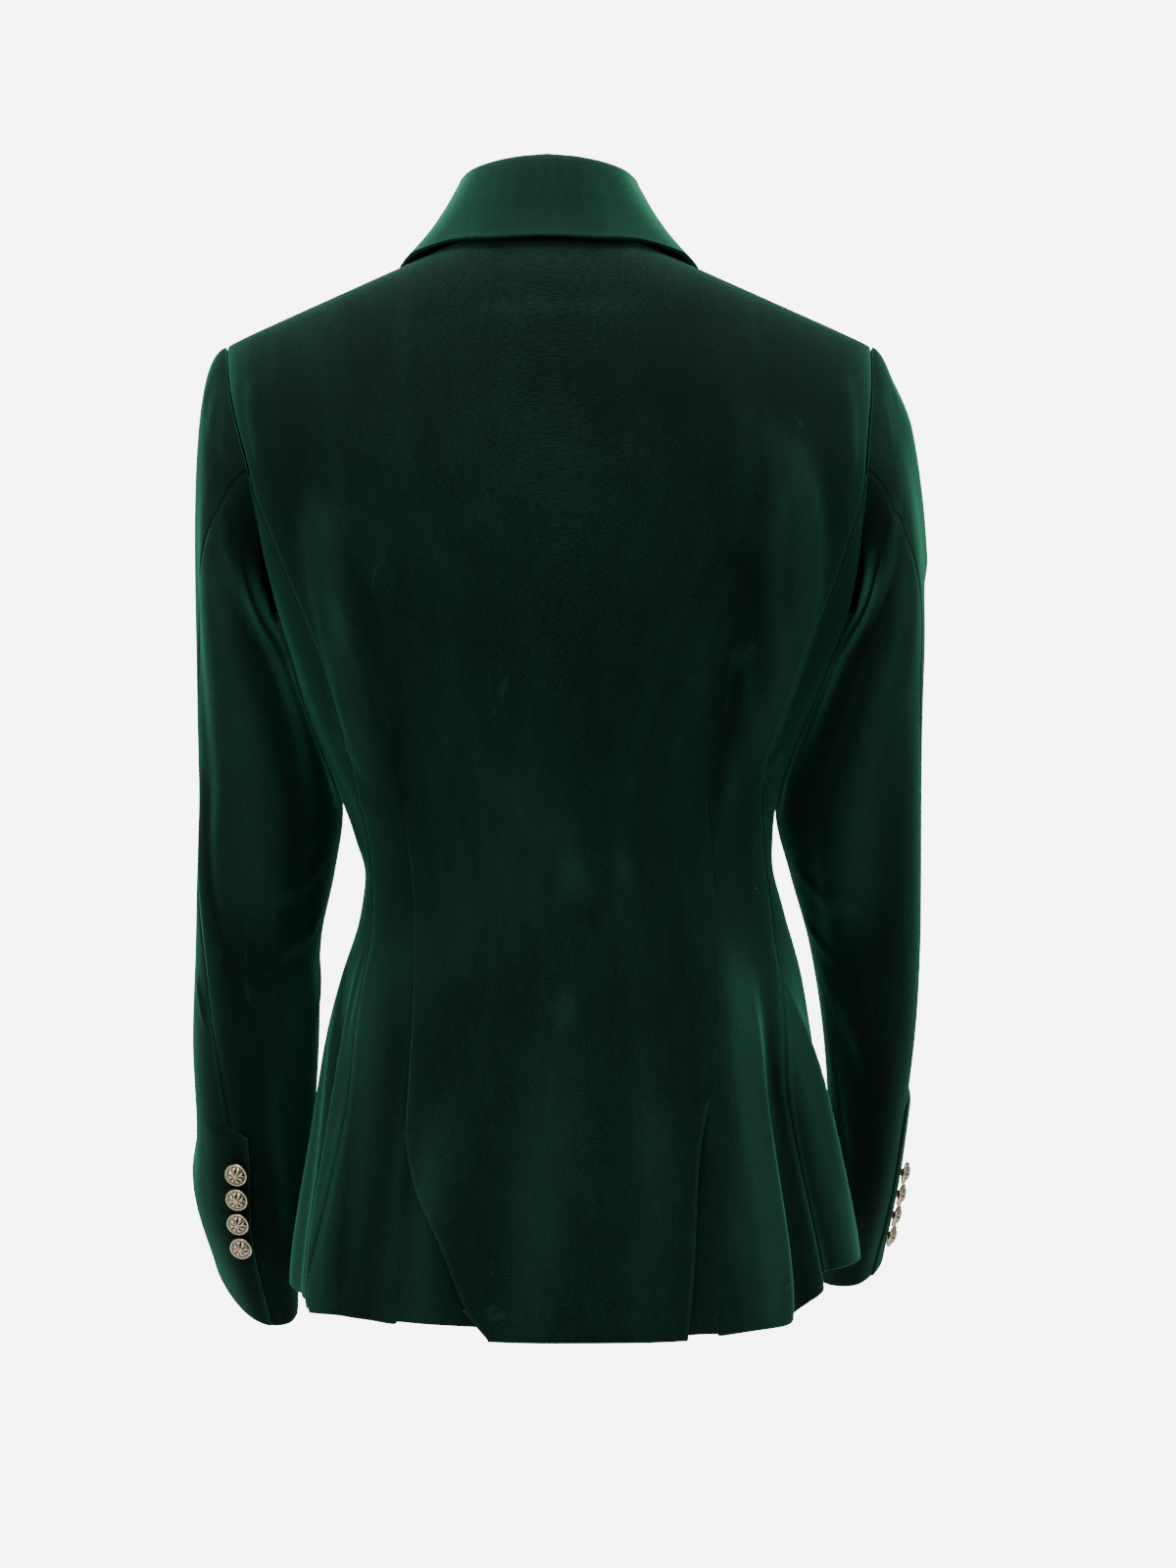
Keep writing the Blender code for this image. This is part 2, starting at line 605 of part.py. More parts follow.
def make_back(colour):
    parts = [inset(flap_rows(), left=False, right=False)]
    for side in (1, -1):
        rows, under = [], []
        for index, climb in enumerate(back_climbs(side)):
            dart, edge = dart_angle(side, climb), back_edge(side, hung(side, 1.0, climb))
            low = index <= VENT_CELLS
            start = dart + side * degrees_round(VENT_NOTCH if low else 0.0)
            rows.append([body(mix(start, edge, part), hung(side, part, climb))
                         for part in spread(0.0, 1.0, SIDE_CELLS)])
            if low:
                depth = (vent_top(side) - climb) * (UNDERARM - HEM)
                reach = drawn_in(side, climb) + min(UNDERLAP, depth * UNDERLAP_SLOPE)
                inner = dart - side * degrees_round(reach)
                under.append([body(mix(start, inner, part), hung(side, 0.0, climb))
                              for part in spread(0.0, 1.0, UNDERLAP_CELLS)])
        parts.append(inset(rows, left=False))
        parts.append(under)
    return sheet("back", parts, Vector((0, 0, -0.35)), colour)


# ---------------------------------------------------------------- side panels and fronts

def seam_rows():
    """How many rows of the back lie along the side seam."""
    return VENT_CELLS + 2 + HIP_CELLS + CHEST_CELLS


def front_seam_climbs():
    """Climbs along the front seam, from the hem to the armhole, as many as along the side seam."""
    return spread(-1.0, read(ARMHOLE, "climb", FRONT_SEAM_TURN), seam_rows() - 1)


def front_top_climbs():
    start = math.asin(read(ARMHOLE, "climb", FRONT_SEAM_TURN))
    return [math.sin(part) for part in spread(start, math.pi / 2, FRONT_TOP_CELLS)][1:]


def make_side(side, colour):
    """Side panel, whose top is the lower part of the armhole."""
    back_column = [hung(side, 1.0, climb) for climb in back_climbs(side)[:seam_rows()]]
    front_column = front_seam_climbs()
    columns = []
    for part in spread(0.0, 1.0, PANEL_CELLS):
        turn = mix(SIDE_SEAM_TURN, FRONT_SEAM_TURN, part)
        top = read(ARMHOLE, "climb", turn)
        meet = side * read(ARMHOLE, "angle", turn)
        lifted = read(SIDE_HEM, "left" if side > 0 else "right", part) / (UNDERARM - HEM)
        even = [mix(back, front, part) for back, front in zip(back_column, front_column)]
        column = []
        for climb in even:
            rise = (climb - even[0]) / (even[-1] - even[0])
            climb = max(mix(even[0], top, rise), lifted - 1.0)
            front = side * read(FRONT_SEAM_ANGLE, "angle", climb)
            angle = mix(side_seam_angle(side, climb), front, part)
            blend = smooth((rise - 0.7) / 0.3) if 0 < part < 1 else 0.0
            column.append(body(mix(angle, meet, blend), climb))
        columns.append(column)
    rows = [list(row) for row in zip(*columns)]
    name = "side_left" if side > 0 else "side_right"
    return sheet(name, [inset(rows)], Vector((0, 0, -0.4)), colour)


def front_edge_angle(side, climb):
    """Angle at which a row of the front meets the roll line or the front edge."""
    low, high = 90.0, 200.0
    for _ in range(40):
        angle = (low + high) / 2
        place = plain(angle, climb)
        reach = place.x - read(BODY, "centre", place.z)
        if reach > read(FRONT_EDGE, "reach", place.z):
            low = angle
        else:
            high = angle
    return side * (low + high) / 2


def front_armhole_angle(side, climb):
    turn = armhole_turn(climb, FRONT_SEAM_TURN, 360.0)
    return side * read(ARMHOLE, "angle", turn)


def overlap_out(side, angle, climb):
    """How far the right front stands off, where it lies over the left one and the left lapel."""
    if side > 0:
        return 0.0
    rise = read(OVERLAP, "rise", height_at(angle, climb))
    return rise * smooth((abs(angle) - OVERLAP_ANGLE) / OVERLAP_RAMP)


def make_front(side, colour):
    seam_climbs = front_seam_climbs()
    rows = []
    for index, climb in enumerate(seam_climbs + front_top_climbs()):
        on_seam = index < len(seam_climbs)
        outer = side * read(FRONT_SEAM_ANGLE, "angle", climb) if on_seam else front_armhole_angle(side, climb)
        inner = front_edge_angle(side, climb)
        row = []
        even = mix(outer, inner, FRONT_CELLS / (FRONT_CELLS + NECK_CELLS))
        knee = mix(side * NECK_CORNER, even, smooth(-climb * 1.5))
        for angle in spread(outer, knee, FRONT_CELLS) + spread(knee, inner, NECK_CELLS)[1:]:
            row.append(body(angle, climb, overlap_out(side, angle, climb)))
        rows.append(row)
    name = "front_left" if side > 0 else "front_right"
    return sheet(name, [inset(rows)], Vector((0, 0, -0.35)), colour)


# ---------------------------------------------------------------- collar and lapels

def on_front(side, reach, height, out):
    angle = side * angle_at(reach, height, "front")
    climb = climb_at(angle, height)
    return body(angle, climb, out + overlap_out(side, angle, climb))


def make_lapel(side, colour):
    rows = []
    for part in spread(0.02, 1.0, LAPEL_ROWS):
        height = mix(BREAK_HEIGHT, GORGE_HEIGHT - GORGE_GAP, part)
        start = read(FRONT_EDGE, "reach", height) + 0.0008
        width = read(LAPEL, "width", part)
        drop = LAPEL_TOP_DROP * part
        row = []
        for across in spread(0.0, 1.0, LAPEL_CELLS):
            reach = start + width * across
            lift = CLOTH + LAPEL_LIFT + LAPEL_BOW * math.sin(math.pi * across)
            row.append(on_front(side, reach, height - drop * across, lift))
        rows.append(row)
    name = "lapel_left" if side > 0 else "lapel_right"
    return sheet(name, [rows], Vector((0, 0, -0.2)), colour)


def over(x, y):
    """Angle and climb of the place on the form above a point of the plan."""
    facing = "back" if y > SHOULDER_SEAM_Y else "front"
    low, high = 0.3, 1.0
    for _ in range(40):
        climb = (low + high) / 2
        angle = 90.0
        for _ in range(4):
            angle = angle_at(x, height_at(angle, climb), facing)
        if abs(plain(angle, climb).y - SHOULDER_SEAM_Y) > abs(y - SHOULDER_SEAM_Y):
            low = climb
        else:
            high = climb
    return angle, climb


def resting(x, y, out):
    return body(*over(x, y), out)


def kept_clear(place, least):
    """A place moved out where it comes closer to the form than the least distance."""
    angle, climb = over(place.x, place.y)
    facing = normal_of(angle, climb)
    away = (place - body(angle, climb)).dot(facing)
    return place + facing * max(least - away, 0.0)


def collar_section(station, side):
    """Places across the collar, from the neck seam over the roll to the edge, on the side that shows."""
    seam = resting(side * read(COLLAR, "seam_x", station), read(COLLAR, "seam_y", station),
                   CLOTH + COLLAR_SEAM_LIFT)
    roll = Vector((side * read(COLLAR, "roll_x", station), read(COLLAR, "roll_y", station),
                   read(COLLAR, "roll_z", station)))
    edge = resting(side * read(COLLAR, "edge_x", station), read(COLLAR, "edge_y", station),
                   CLOTH + LAY + COLLAR_LIFT)
    away = Vector((edge.x - seam.x, edge.y - seam.y, 0)).normalized()
    seam -= away * COLLAR_INSET
    places = [seam, seam.lerp(roll - away * ROLL_RADIUS, 0.5)]
    for degrees in COLLAR_TURNS:
        turn = math.radians(degrees)
        rise = Vector((0, 0, math.sin(turn) - 1))
        places.append(roll + (away * math.cos(turn) + rise) * ROLL_RADIUS)
    start = places[-1]
    for part in (0.33, 0.66, 1.0):
        bow = away * read(COLLAR, "bow", station) * math.sin(math.pi * part)
        places.append(start.lerp(edge, part) + bow)
    return places


def above_lapel(side, across, above, out):
    """A place on the front, just above the lapel's top edge."""
    reach = read(FRONT_EDGE, "reach", GORGE_HEIGHT) + across
    drop = LAPEL_TOP_DROP * across / LAPEL["width"][-1]
    return on_front(side, reach, GORGE_HEIGHT - GORGE_GAP / 2 - drop + above, out)


def collar_end(side):
    """The same places at the collar's front end, where it lies flat above the lapel."""
    under = CLOTH + LAPEL_LIFT + COLLAR_CLOTH
    centre = above_lapel(side, 0.001, 0.0, under + COLLAR_END_RADIUS)
    off = (above_lapel(side, 0.001, 0.0, under + 0.01) - centre).normalized()
    away = (above_lapel(side, 0.011, 0.0, under + COLLAR_END_RADIUS) - centre).normalized()
    places = [centre - away * in_neck - off * down for in_neck, down in zip(*COLLAR_END_STAND.values())]
    for degrees in COLLAR_TURNS:
        turn = math.radians(degrees)
        places.append(centre + (off * math.cos(turn) - away * math.sin(turn)) * COLLAR_END_RADIUS)
    for across, above, lift in zip(*COLLAR_FRONT.values()):
        places.append(above_lapel(side, across, above, lift))
    return places


def make_collar(colour):
    stations = COLLAR["station"] + [1.0]
    rows = {}
    for side in (1, -1):
        sections = [collar_section(station, side) for station in COLLAR["station"]] + [collar_end(side)]
        rows[side] = {"station": stations}
        rows[side].update({column: list(places) for column, places in enumerate(zip(*sections))})
    columns = range(len(rows[1]) - 1)
    grid = []
    for place in spread(-1.0, 1.0, COLLAR_CELLS):
        half = rows[1] if place >= 0 else rows[-1]
        row = [read(half, column, abs(place)) for column in columns]
        grid.append(row[:-FALL_PLACES] + [kept_clear(spot, COLLAR_CLEAR) for spot in row[-FALL_PLACES:]])
    return sheet("collar", [grid], Vector((0, 0.02, 0.03)), colour, COLLAR_CLOTH)


# ---------------------------------------------------------------- sleeves

def armhole_start(side, turn):
    """Where a sleeve starts, just clear of the body's edge, and the way that it leaves."""
    angle = side * read(ARMHOLE, "angle", turn)
    climb = read(ARMHOLE, "climb", turn)
    here = body(angle, climb)
    ahead = turn + 4
    behind = turn - 4
    after = body(side * read(ARMHOLE, "angle", ahead), read(ARMHOLE, "climb", ahead))
    before = body(side * read(ARMHOLE, "angle", behind), read(ARMHOLE, "climb", behind))
    away = (after - before).cross(normal_of(angle, climb)).normalized() * side
    low = smooth((-math.cos(math.radians(turn)) - 0.1) / 0.6)
    sideways, down = Vector((side, 0, 0)), Vector((0, 0, -1))
    top = 0.5 + 0.5 * math.cos(math.radians(turn))
    leave = (away * 0.3 + sideways + down * 0.1) * top + (sideways * 0.5 + down) * (1 - top)
    leave.normalize()
    facing = normal_of(angle, climb)
    lift = (CLOTH + SEAM_GAP) * smooth(leave.dot(facing) / 0.3)
    return here + away * SEAM_GAP + facing * lift + sideways * UNDERARM_STEP * low, leave


def ring_place(side, turn, height):
    rings = LEFT_RINGS if side > 0 else RIGHT_RINGS
    inner, outer = read(rings, "inner", height), read(rings, "outer", height)
    back, front = read(rings, "back", height), read(rings, "front", height)
    tilt = math.radians(read(rings, "tilt", height))
    across = (outer - inner) / 2 * rounded(math.cos(math.radians(turn)), SLEEVE_SQUARE)
    deep = (back - front) / 2 * rounded(math.sin(math.radians(turn)), SLEEVE_SQUARE)
    yaw = math.radians(read(rings, "yaw", height))
    level = deep * math.cos(tilt)
    return Vector((side * ((inner + outer) / 2 + across * math.cos(yaw) - level * math.sin(yaw)),
                   (back + front) / 2 + level * math.cos(yaw) + across * math.sin(yaw),
                   height - deep * math.sin(tilt)))


def cap_place(side, turn, part):
    """A place on the sleeve's cap: part is 0 at the armhole and 1 at the first ring below it."""
    rings = LEFT_RINGS if side > 0 else RIGHT_RINGS
    head = LEFT_HEAD if side > 0 else RIGHT_HEAD
    first = rings["height"][-1]
    start, leave = armhole_start(side, turn % 360)
    end = ring_place(side, turn, first)
    flow = (ring_place(side, turn, first - 0.01) - end).normalized()
    reach = (end - start).length
    near = start + leave * min(0.17 * reach + 0.001, head)
    far = end - flow * reach * 0.45
    return (start * (1 - part) ** 3 + near * 3 * part * (1 - part) ** 2
            + far * 3 * part ** 2 * (1 - part) + end * part ** 3)


def beside_body(side, place):
    """A place of a sleeve, moved out where it would come too near to the side of the body."""
    square = read(BODY, "square", place.z)
    deep = read(BODY, "back" if place.y > 0 else "front", place.z)
    part = min(abs(place.y) / deep, 1.0)
    angle = math.degrees(math.acos(part ** (square / 2)))
    angle = side * (angle if place.y > 0 else 180 - angle)
    climb = (place.z - UNDERARM) / (UNDERARM - HEM)
    reach = read(BODY, "half_width", place.z) * (1 - part ** square) ** (1 / square)
    least = reach + side * read(BODY, "centre", place.z) + BESIDE
    least += max(drape(BODY_FOLDS, angle, climb), 0.0)
    over = (side * place.x - least) / BESIDE_SOFT
    moved = side * place.x if over > 30 else least + BESIDE_SOFT * math.log(1 + math.exp(over))
    kept = smooth((BESIDE_TOP - place.z) / 0.02) * smooth((place.z - BESIDE_BOTTOM) / 0.03)
    return Vector((side * mix(side * place.x, moved, kept), place.y, place.z))


def sleeve(side, turn, along, out=0.0):
    """A place on a sleeve: along is 0 at the armhole and 1 at the cuff."""
    rings = LEFT_RINGS if side > 0 else RIGHT_RINGS
    folds = LEFT_SLEEVE_FOLDS if side > 0 else RIGHT_SLEEVE_FOLDS
    first, cuff = rings["height"][-1], rings["height"][0]
    if along < CAP_END:
        place = cap_place(side, turn, along / CAP_END)
    else:
        place = ring_place(side, turn, mix(first, cuff, (along - CAP_END) / (1 - CAP_END)))
    out += drape(folds, turn, along)
    height = min(place.z, first)
    centre = (ring_place(side, 0, height) + ring_place(side, 180, height)) / 2
    away = Vector((place.x - centre.x, place.y - centre.y, 0)).normalized()
    return beside_body(side, place + away * out * smooth(along / 0.1))


def sleeve_alongs():
    return spread(0.0, CAP_END, CAP_ROWS) + spread(CAP_END, 1.0, SLEEVE_ROWS)[1:]


def seam_turns(side, along):
    seams = LEFT_SLEEVE_SEAMS if side > 0 else RIGHT_SLEEVE_SEAMS
    return read(seams, "hindarm", along), read(seams, "forearm", along)


def armhole_turns(side):
    """Turns of the body's corners along the armhole, for the top sleeve and for the under sleeve."""
    over_front = [armhole_turn(climb, FRONT_SEAM_TURN, 360.0) - 360 for climb in front_top_climbs()]
    over_back = [armhole_turn(climb, 0.0, SIDE_SEAM_TURN) for climb in back_climbs(side)[seam_rows():]]
    top = [FRONT_SEAM_TURN - 360] + over_front + over_back[-2::-1] + [SIDE_SEAM_TURN]
    return top, spread(SIDE_SEAM_TURN, FRONT_SEAM_TURN, PANEL_CELLS)


def sleeve_turns(starts, low, high, along):
    """Turns of a row's corners: the armhole's at the top, evenly spread further down."""
    even = spread(low, high, len(starts) - 1)
    return [mix(start, turn, smooth(along / CAP_END)) for start, turn in zip(starts, even)]


def make_top_sleeve(side, colour):
    starts = armhole_turns(side)[0]
    rows, lap = [], []
    for along in sleeve_alongs():
        hind, fore = seam_turns(side, along)
        vent = along > CUFF_VENT_ALONG
        row = []
        for index, turn in enumerate(sleeve_turns(starts, fore, hind, along)):
            part = index / (len(starts) - 1)
            row.append(sleeve(side, turn, along, CUFF_LIFT * smooth((part - 0.8) / 0.2) if vent else 0.0))
        rows.append(row)
        if vent:
            lap.append([row[-1]] + [sleeve(side, hind + turn, along, CUFF_LIFT)
                                    for turn in (CUFF_LAP_DEGREES / 2, CUFF_LAP_DEGREES)])
    above = len(rows) - len(lap)
    rows = inset(rows, top=False)[:above] + inset(rows, right=False, top=False)[above:]
    name = "top_sleeve_left" if side > 0 else "top_sleeve_right"
    return sheet(name, [rows, lap], sleeve_centre(side), colour)


def sleeve_centre(side):
    return Vector((side * 0.185, -0.02, -0.38))


def make_under_sleeve(side, colour):
    starts = armhole_turns(side)[1]
    rows = []
    for along in sleeve_alongs():
        hind, fore = seam_turns(side, along)
        if along > CUFF_VENT_ALONG:
            hind += CUFF_CLEAR_DEGREES
        rows.append([sleeve(side, turn, along) for turn in sleeve_turns(starts, hind, fore + 360, along)])
    name = "under_sleeve_left" if side > 0 else "under_sleeve_right"
    return sheet(name, [inset(rows, top=False)], sleeve_centre(side), colour)


# ---------------------------------------------------------------- buttons

def button(name, radius, place, facing, colour):
    """A domed shank button: a turned profile whose foot stands on the cloth."""
    foot, wall = radius * 0.32, radius * 0.16
    profile = [
        (0.0, radius * 0.78), (radius * 0.45, radius * 0.72), (radius * 0.80, radius * 0.56),
        (radius, radius * 0.38), (radius * 0.96, radius * 0.38 - wall), (foot, radius * 0.20),
        (foot, 0.0), (0.0, 0.0),
    ]
    mesh = bpy.data.meshes.new(name)
    edges = [(index, index + 1) for index in range(len(profile) - 1)]
    mesh.from_pydata([(x, 0, z) for x, z in profile], edges, [])
    mesh.materials.append(colour)
    piece = bpy.data.objects.new(name, mesh)
    blazer.objects.link(piece)
    turned = piece.modifiers.new("turned", "SCREW")
    turned.steps = turned.render_steps = BUTTON_STEPS
    turned.use_merge_vertices = True
    turned.merge_threshold = 0.00001
    piece.location = place + facing * SEAM_GAP
    piece.rotation_mode = "QUATERNION"
    piece.rotation_quaternion = Vector((0, 0, 1)).rotation_difference(facing)
    return piece


def make_cuff_buttons(side, colour):
    word = "left" if side > 0 else "right"
    start = LEFT_BUTTON_START if side > 0 else RIGHT_BUTTON_START
    for index in range(CUFF_BUTTONS):
        along = start + index * CUFF_BUTTON_PITCH / SLEEVE_LENGTH
        turn = seam_turns(side, along)[0] + BUTTON_TURN
        here = sleeve(side, turn, along, CUFF_LIFT)
        around = sleeve(side, turn + 3, along, CUFF_LIFT) - sleeve(side, turn - 3, along, CUFF_LIFT)
        down = sleeve(side, turn, along + 0.01, CUFF_LIFT) - sleeve(side, turn, along - 0.01, CUFF_LIFT)
        facing = around.cross(down).normalized()
        if facing.dot(here - sleeve_centre(side)) < 0:
            facing = -facing
        button(f"cuff_button_{word}_{index + 1}", CUFF_BUTTON_RADIUS, here + facing * CLOTH, facing, colour)


def make_front_button(colour):
    angle = -180.0
    climb = climb_at(angle, FRONT_BUTTON_HEIGHT)
    facing = normal_of(angle, climb)
    place = body(angle, climb, overlap_out(-1, angle, climb) + CLOTH)
    button("front_button", FRONT_BUTTON_RADIUS, place, facing, colour)


for old in list(bpy.data.objects):
    bpy.data.objects.remove(old, do_unlink=True)
blazer = bpy.data.collections.new("blazer")
bpy.context.scene.collection.children.link(blazer)

velvet = material("velvet", GREEN, 0.85, sheen=0.6)
collar_velvet = material("collar velvet", LIGHT_GREEN, 0.85, sheen=0.6)
metal = material("button metal", PALE_GOLD, 0.32, metallic=1.0)

make_back(velvet)
for side in (1, -1):
    make_side(side, velvet)
    make_front(side, velvet)
    make_lapel(side, collar_velvet)
    make_top_sleeve(side, velvet)
    make_under_sleeve(side, velvet)
    make_cuff_buttons(side, metal)
make_collar(collar_velvet)
make_front_button(metal)
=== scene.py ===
"""A fitted velvet blazer, in the hollow shape that it has when it is worn.

Metres, +Z up. The back of the blazer faces +Y and the wearer's left is +X. The form is the one that the
solids have: a place on the body has an angle (0 at the centre back, 90 at the wearer's left side) and a
climb (-1 at the hem, 0 level with the underarm, 1 along the shoulder seams and the neck). A place on a
sleeve has a turn (0 outside, 90 at the back) and an along (0 at the armhole, 1 at the cuff).
"""

import math

import bmesh
import bpy
import numpy as np
from mathutils import Matrix, Vector


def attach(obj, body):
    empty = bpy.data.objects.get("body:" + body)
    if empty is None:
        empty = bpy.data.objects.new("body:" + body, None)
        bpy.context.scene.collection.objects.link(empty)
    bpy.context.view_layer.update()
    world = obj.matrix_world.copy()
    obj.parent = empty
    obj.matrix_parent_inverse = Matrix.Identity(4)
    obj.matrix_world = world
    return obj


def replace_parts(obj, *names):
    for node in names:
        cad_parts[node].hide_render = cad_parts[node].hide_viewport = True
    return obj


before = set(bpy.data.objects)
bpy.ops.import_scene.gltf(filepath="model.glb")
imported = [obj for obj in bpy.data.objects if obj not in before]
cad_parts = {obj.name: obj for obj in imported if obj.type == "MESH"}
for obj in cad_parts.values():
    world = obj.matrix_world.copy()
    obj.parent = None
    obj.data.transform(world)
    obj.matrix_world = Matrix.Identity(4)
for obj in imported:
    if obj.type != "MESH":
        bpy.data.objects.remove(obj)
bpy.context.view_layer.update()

WORD = {1: "left", -1: "right"}            # side 1 is the wearer's left, side -1 the wearer's right


def table(columns, *rows):
    """Rows of numbers under named columns."""
    return {name: [row[place] for row in rows] for place, name in enumerate(columns.split())}


# ---------------------------------------------------------------- sizes of the garment

# Cloth
CLOTH = 0.0015              # velvet with its lining, one wall
COLLAR_CLOTH = 0.0022       # two layers of velvet
SEAM_GAP = 0.0003           # between neighbouring pieces
LAY = 0.0005                # between a piece and the piece that it lies on

# Body
UNDERARM = -0.215           # height of the underarm
HEM = -0.630
NECK_HALF = 0.070           # centre to shoulder seam at the neck
SHOULDER_HALF = 0.196       # centre to shoulder tip
SHOULDER_NECK_Z = -0.0050
SHOULDER_TIP_Z = -0.0560
SHOULDER_SEAM_Y = -0.005
CROWN_Z = 0.0123            # height that the shoulders would rise to in the middle, were no neck cut out
BACK_NECK_DROP = 0.0083     # how deep the neck is cut below that, at the centre back
FRONT_NECK_DROP = 0.0873    # and at the centre front
BACK_NECK_SHAPE = 1.6
FRONT_NECK_SHAPE = 1.0
TOP_SQUARE = 3.0            # squareness of the section at the shoulders
ROUNDING = 2.6              # how late the back and chest turn over into the shoulder
NECK_ROUNDING = 4.0         # and the back, under the collar

BODY = table(
    "height half_width back front square centre",
    (-0.645, 0.17, 0.13, 0.122, 2.2, -0.016),
    (-0.6, 0.1655, 0.127, 0.12, 2.2, -0.016),
    (-0.54, 0.155, 0.12, 0.118, 2.2, -0.0155),
    (-0.49, 0.1465, 0.111, 0.114, 2.2, -0.015),
    (-0.44, 0.138, 0.099, 0.11, 2.2, -0.015),
    (-0.4, 0.1275, 0.089, 0.106, 2.2, -0.0145),
    (-0.365, 0.1225, 0.084, 0.105, 2.2, -0.0115),
    (-0.325, 0.131, 0.089, 0.116, 2.25, -0.007),
    (-0.285, 0.147, 0.098, 0.126, 2.35, -0.0065),
    (-0.25, 0.161, 0.103, 0.125, 2.45, -0.008),
    (-0.215, 0.173, 0.105, 0.117, 2.6, -0.009),
    (-0.18, 0.183, 0.1055, 0.108, 2.8, -0.008),
    (-0.14, 0.1905, 0.104, 0.099, 3, -0.006),
    (-0.1, 0.1945, 0.1, 0.09, 3, -0.0025),
    (-0.053, 0.196, 0.095, 0.084, 3, 0),
)

# Seams of the body, as distances from the body's centre line
SIDE_SEAM = table(
    "height reach",
    (-0.645, 0.15), (-0.61, 0.146), (-0.537, 0.1325), (-0.49, 0.125), (-0.44, 0.1205),
    (-0.35, 0.118), (-0.29, 0.1265), (-0.254, 0.1385), (-0.197, 0.163), (-0.137, 0.1815),
)
DART = table(
    "height left right",
    (-0.645, 0.1, 0.0785), (-0.524, 0.097, 0.077), (-0.49, 0.0955, 0.08),
    (-0.435, 0.093, 0.083), (-0.36, 0.0925, 0.085), (-0.3, 0.095, 0.088),
    (-0.22, 0.097, 0.092), (-0.137, 0.1, 0.098), (0, 0.1, 0.1),
)
FRONT_SEAM_ANGLE = table(
    "climb angle",
    (-1, 124), (-0.6, 122), (-0.35, 118), (-0.1, 116), (0.1, 116), (0.25, 119.5),
)
FRONT_EDGE = table(
    "height reach",
    (-0.645, 0.062), (-0.632, 0.045), (-0.605, 0.015), (-0.56, -0.006), (-0.5, -0.016),
    (-0.42, -0.02), (-0.335, -0.02), (-0.256, 0), (-0.176, 0.018), (-0.06, 0.042),
    (-0.015, 0.052),
)
NECK_CORNER = 167.7         # angle of the corner between the shoulder seam and the neck
BREAK_HEIGHT = -0.335       # where the lapel starts to turn back
OVERLAP_ANGLE = 156.0       # where the right front starts to rise over the left one
OVERLAP_RAMP = 12.0
OVERLAP = table(
    "height rise",
    (-0.64, 0.0026), (-0.43, 0.0026), (-0.39, 0.003), (-0.335, 0.0064), (-0.25, 0.0064),
    (-0.19, 0),
)
GORGE_HEIGHT = -0.0596      # where the collar meets the lapel on the roll line

# How much higher than the rest the cloth hangs at the hem: in the back, from the dart line to the side
# seam, and in the side panel, from that seam to the front one
BACK_HEM = table(
    "part left right",
    (0, 0, -0.005), (0.45, 0, -0.002), (0.7, 0, 0.003), (1, -0.001, 0.012),
)
SIDE_HEM = table(
    "part left right",
    (0, 0.001, 0.022), (0.3, 0.002, 0.022), (1, 0, 0.006),
)

# Armhole, once round from the shoulder tip over the back and under the arm
ARMHOLE = table(
    "turn angle climb",
    (-35, 119, 0.8), (0, 90, 1), (35, 77.5, 0.8), (70, 68.5, 0.478),
    (110, 73.5, 0.205), (145, 80.5, 0.045), (180, 92, -0.007), (215, 106, 0.045),
    (250, 119.5, 0.25), (290, 127, 0.52), (325, 119, 0.8), (360, 90, 1),
    (395, 77.5, 0.8),
)
SIDE_SEAM_TURN = 70.0       # where the side seam meets the armhole
FRONT_SEAM_TURN = 250.0

# Vents in the back: how far the flap's edge has drawn in from the dart line, below the vent's top
VENT_TOP = {1: -0.524, -1: -0.505}
VENT_NOTCH = 0.0012
VENT_RAMP = 0.006
FLAP_HEM = -0.6360
FLAP_LEFT = table(
    "depth drawn", (0, 0), (0.03, 0.008), (0.056, 0.018), (0.1, 0.032), (0.1135, 0.04),
)
FLAP_RIGHT = table(
    "depth drawn", (0, 0), (0.034, 0.005), (0.095, 0.008), (0.1325, 0.011),
)
FLAP = {1: FLAP_LEFT, -1: FLAP_RIGHT}
UNDERLAP = 0.020            # how far the under piece goes on past the flap's edge
UNDERLAP_SLOPE = 0.6

# Drapes of the body: ridges (rise > 0) and troughs (rise < 0) that run from one place to another
BODY_FOLDS = table(
    "angle_a climb_a angle_b climb_b width rise",
    (-44, -0.44, -41, -1.08, 5, 0.0075),
    (-52, -0.52, -51, -1.08, 5.5, -0.005),
    (-60, -0.46, -76, -1.08, 8, 0.007),
    (41, -0.46, 44, -1.08, 6, -0.0035),
    (56, -0.42, 60, -1.08, 6.5, 0.0075),
    (70, -0.55, 77, -1.08, 6, -0.004),
    (88, -0.46, 92, -1.08, 7, 0.0055),
    (-92, -0.5, -96, -1.08, 6, -0.004),
    (-112, -0.46, -120, -1.08, 7, 0.0045),
    (110, -0.55, 112, -1.08, 6, -0.004),
    (140, -0.46, 138, -1.08, 8, 0.0055),
    (-138, -0.46, -136, -1.08, 8, 0.0055),
    (38, 0.4, 54, -0.3, 5.5, 0.005),
    (28, 0.1, 44, -0.34, 5, -0.0025),
    (-33, 0.6, -58, -0.3, 5.5, 0.0055),
    (-26, 0.2, -46, -0.36, 5, -0.003),
    (118, 0.34, 150, -0.16, 7, 0.004),
    (-118, 0.34, -150, -0.16, 7, 0.004),
    (96, -0.02, 84, -0.4, 7, 0.0035),
    (-96, -0.02, -84, -0.4, 7, 0.0015),
)

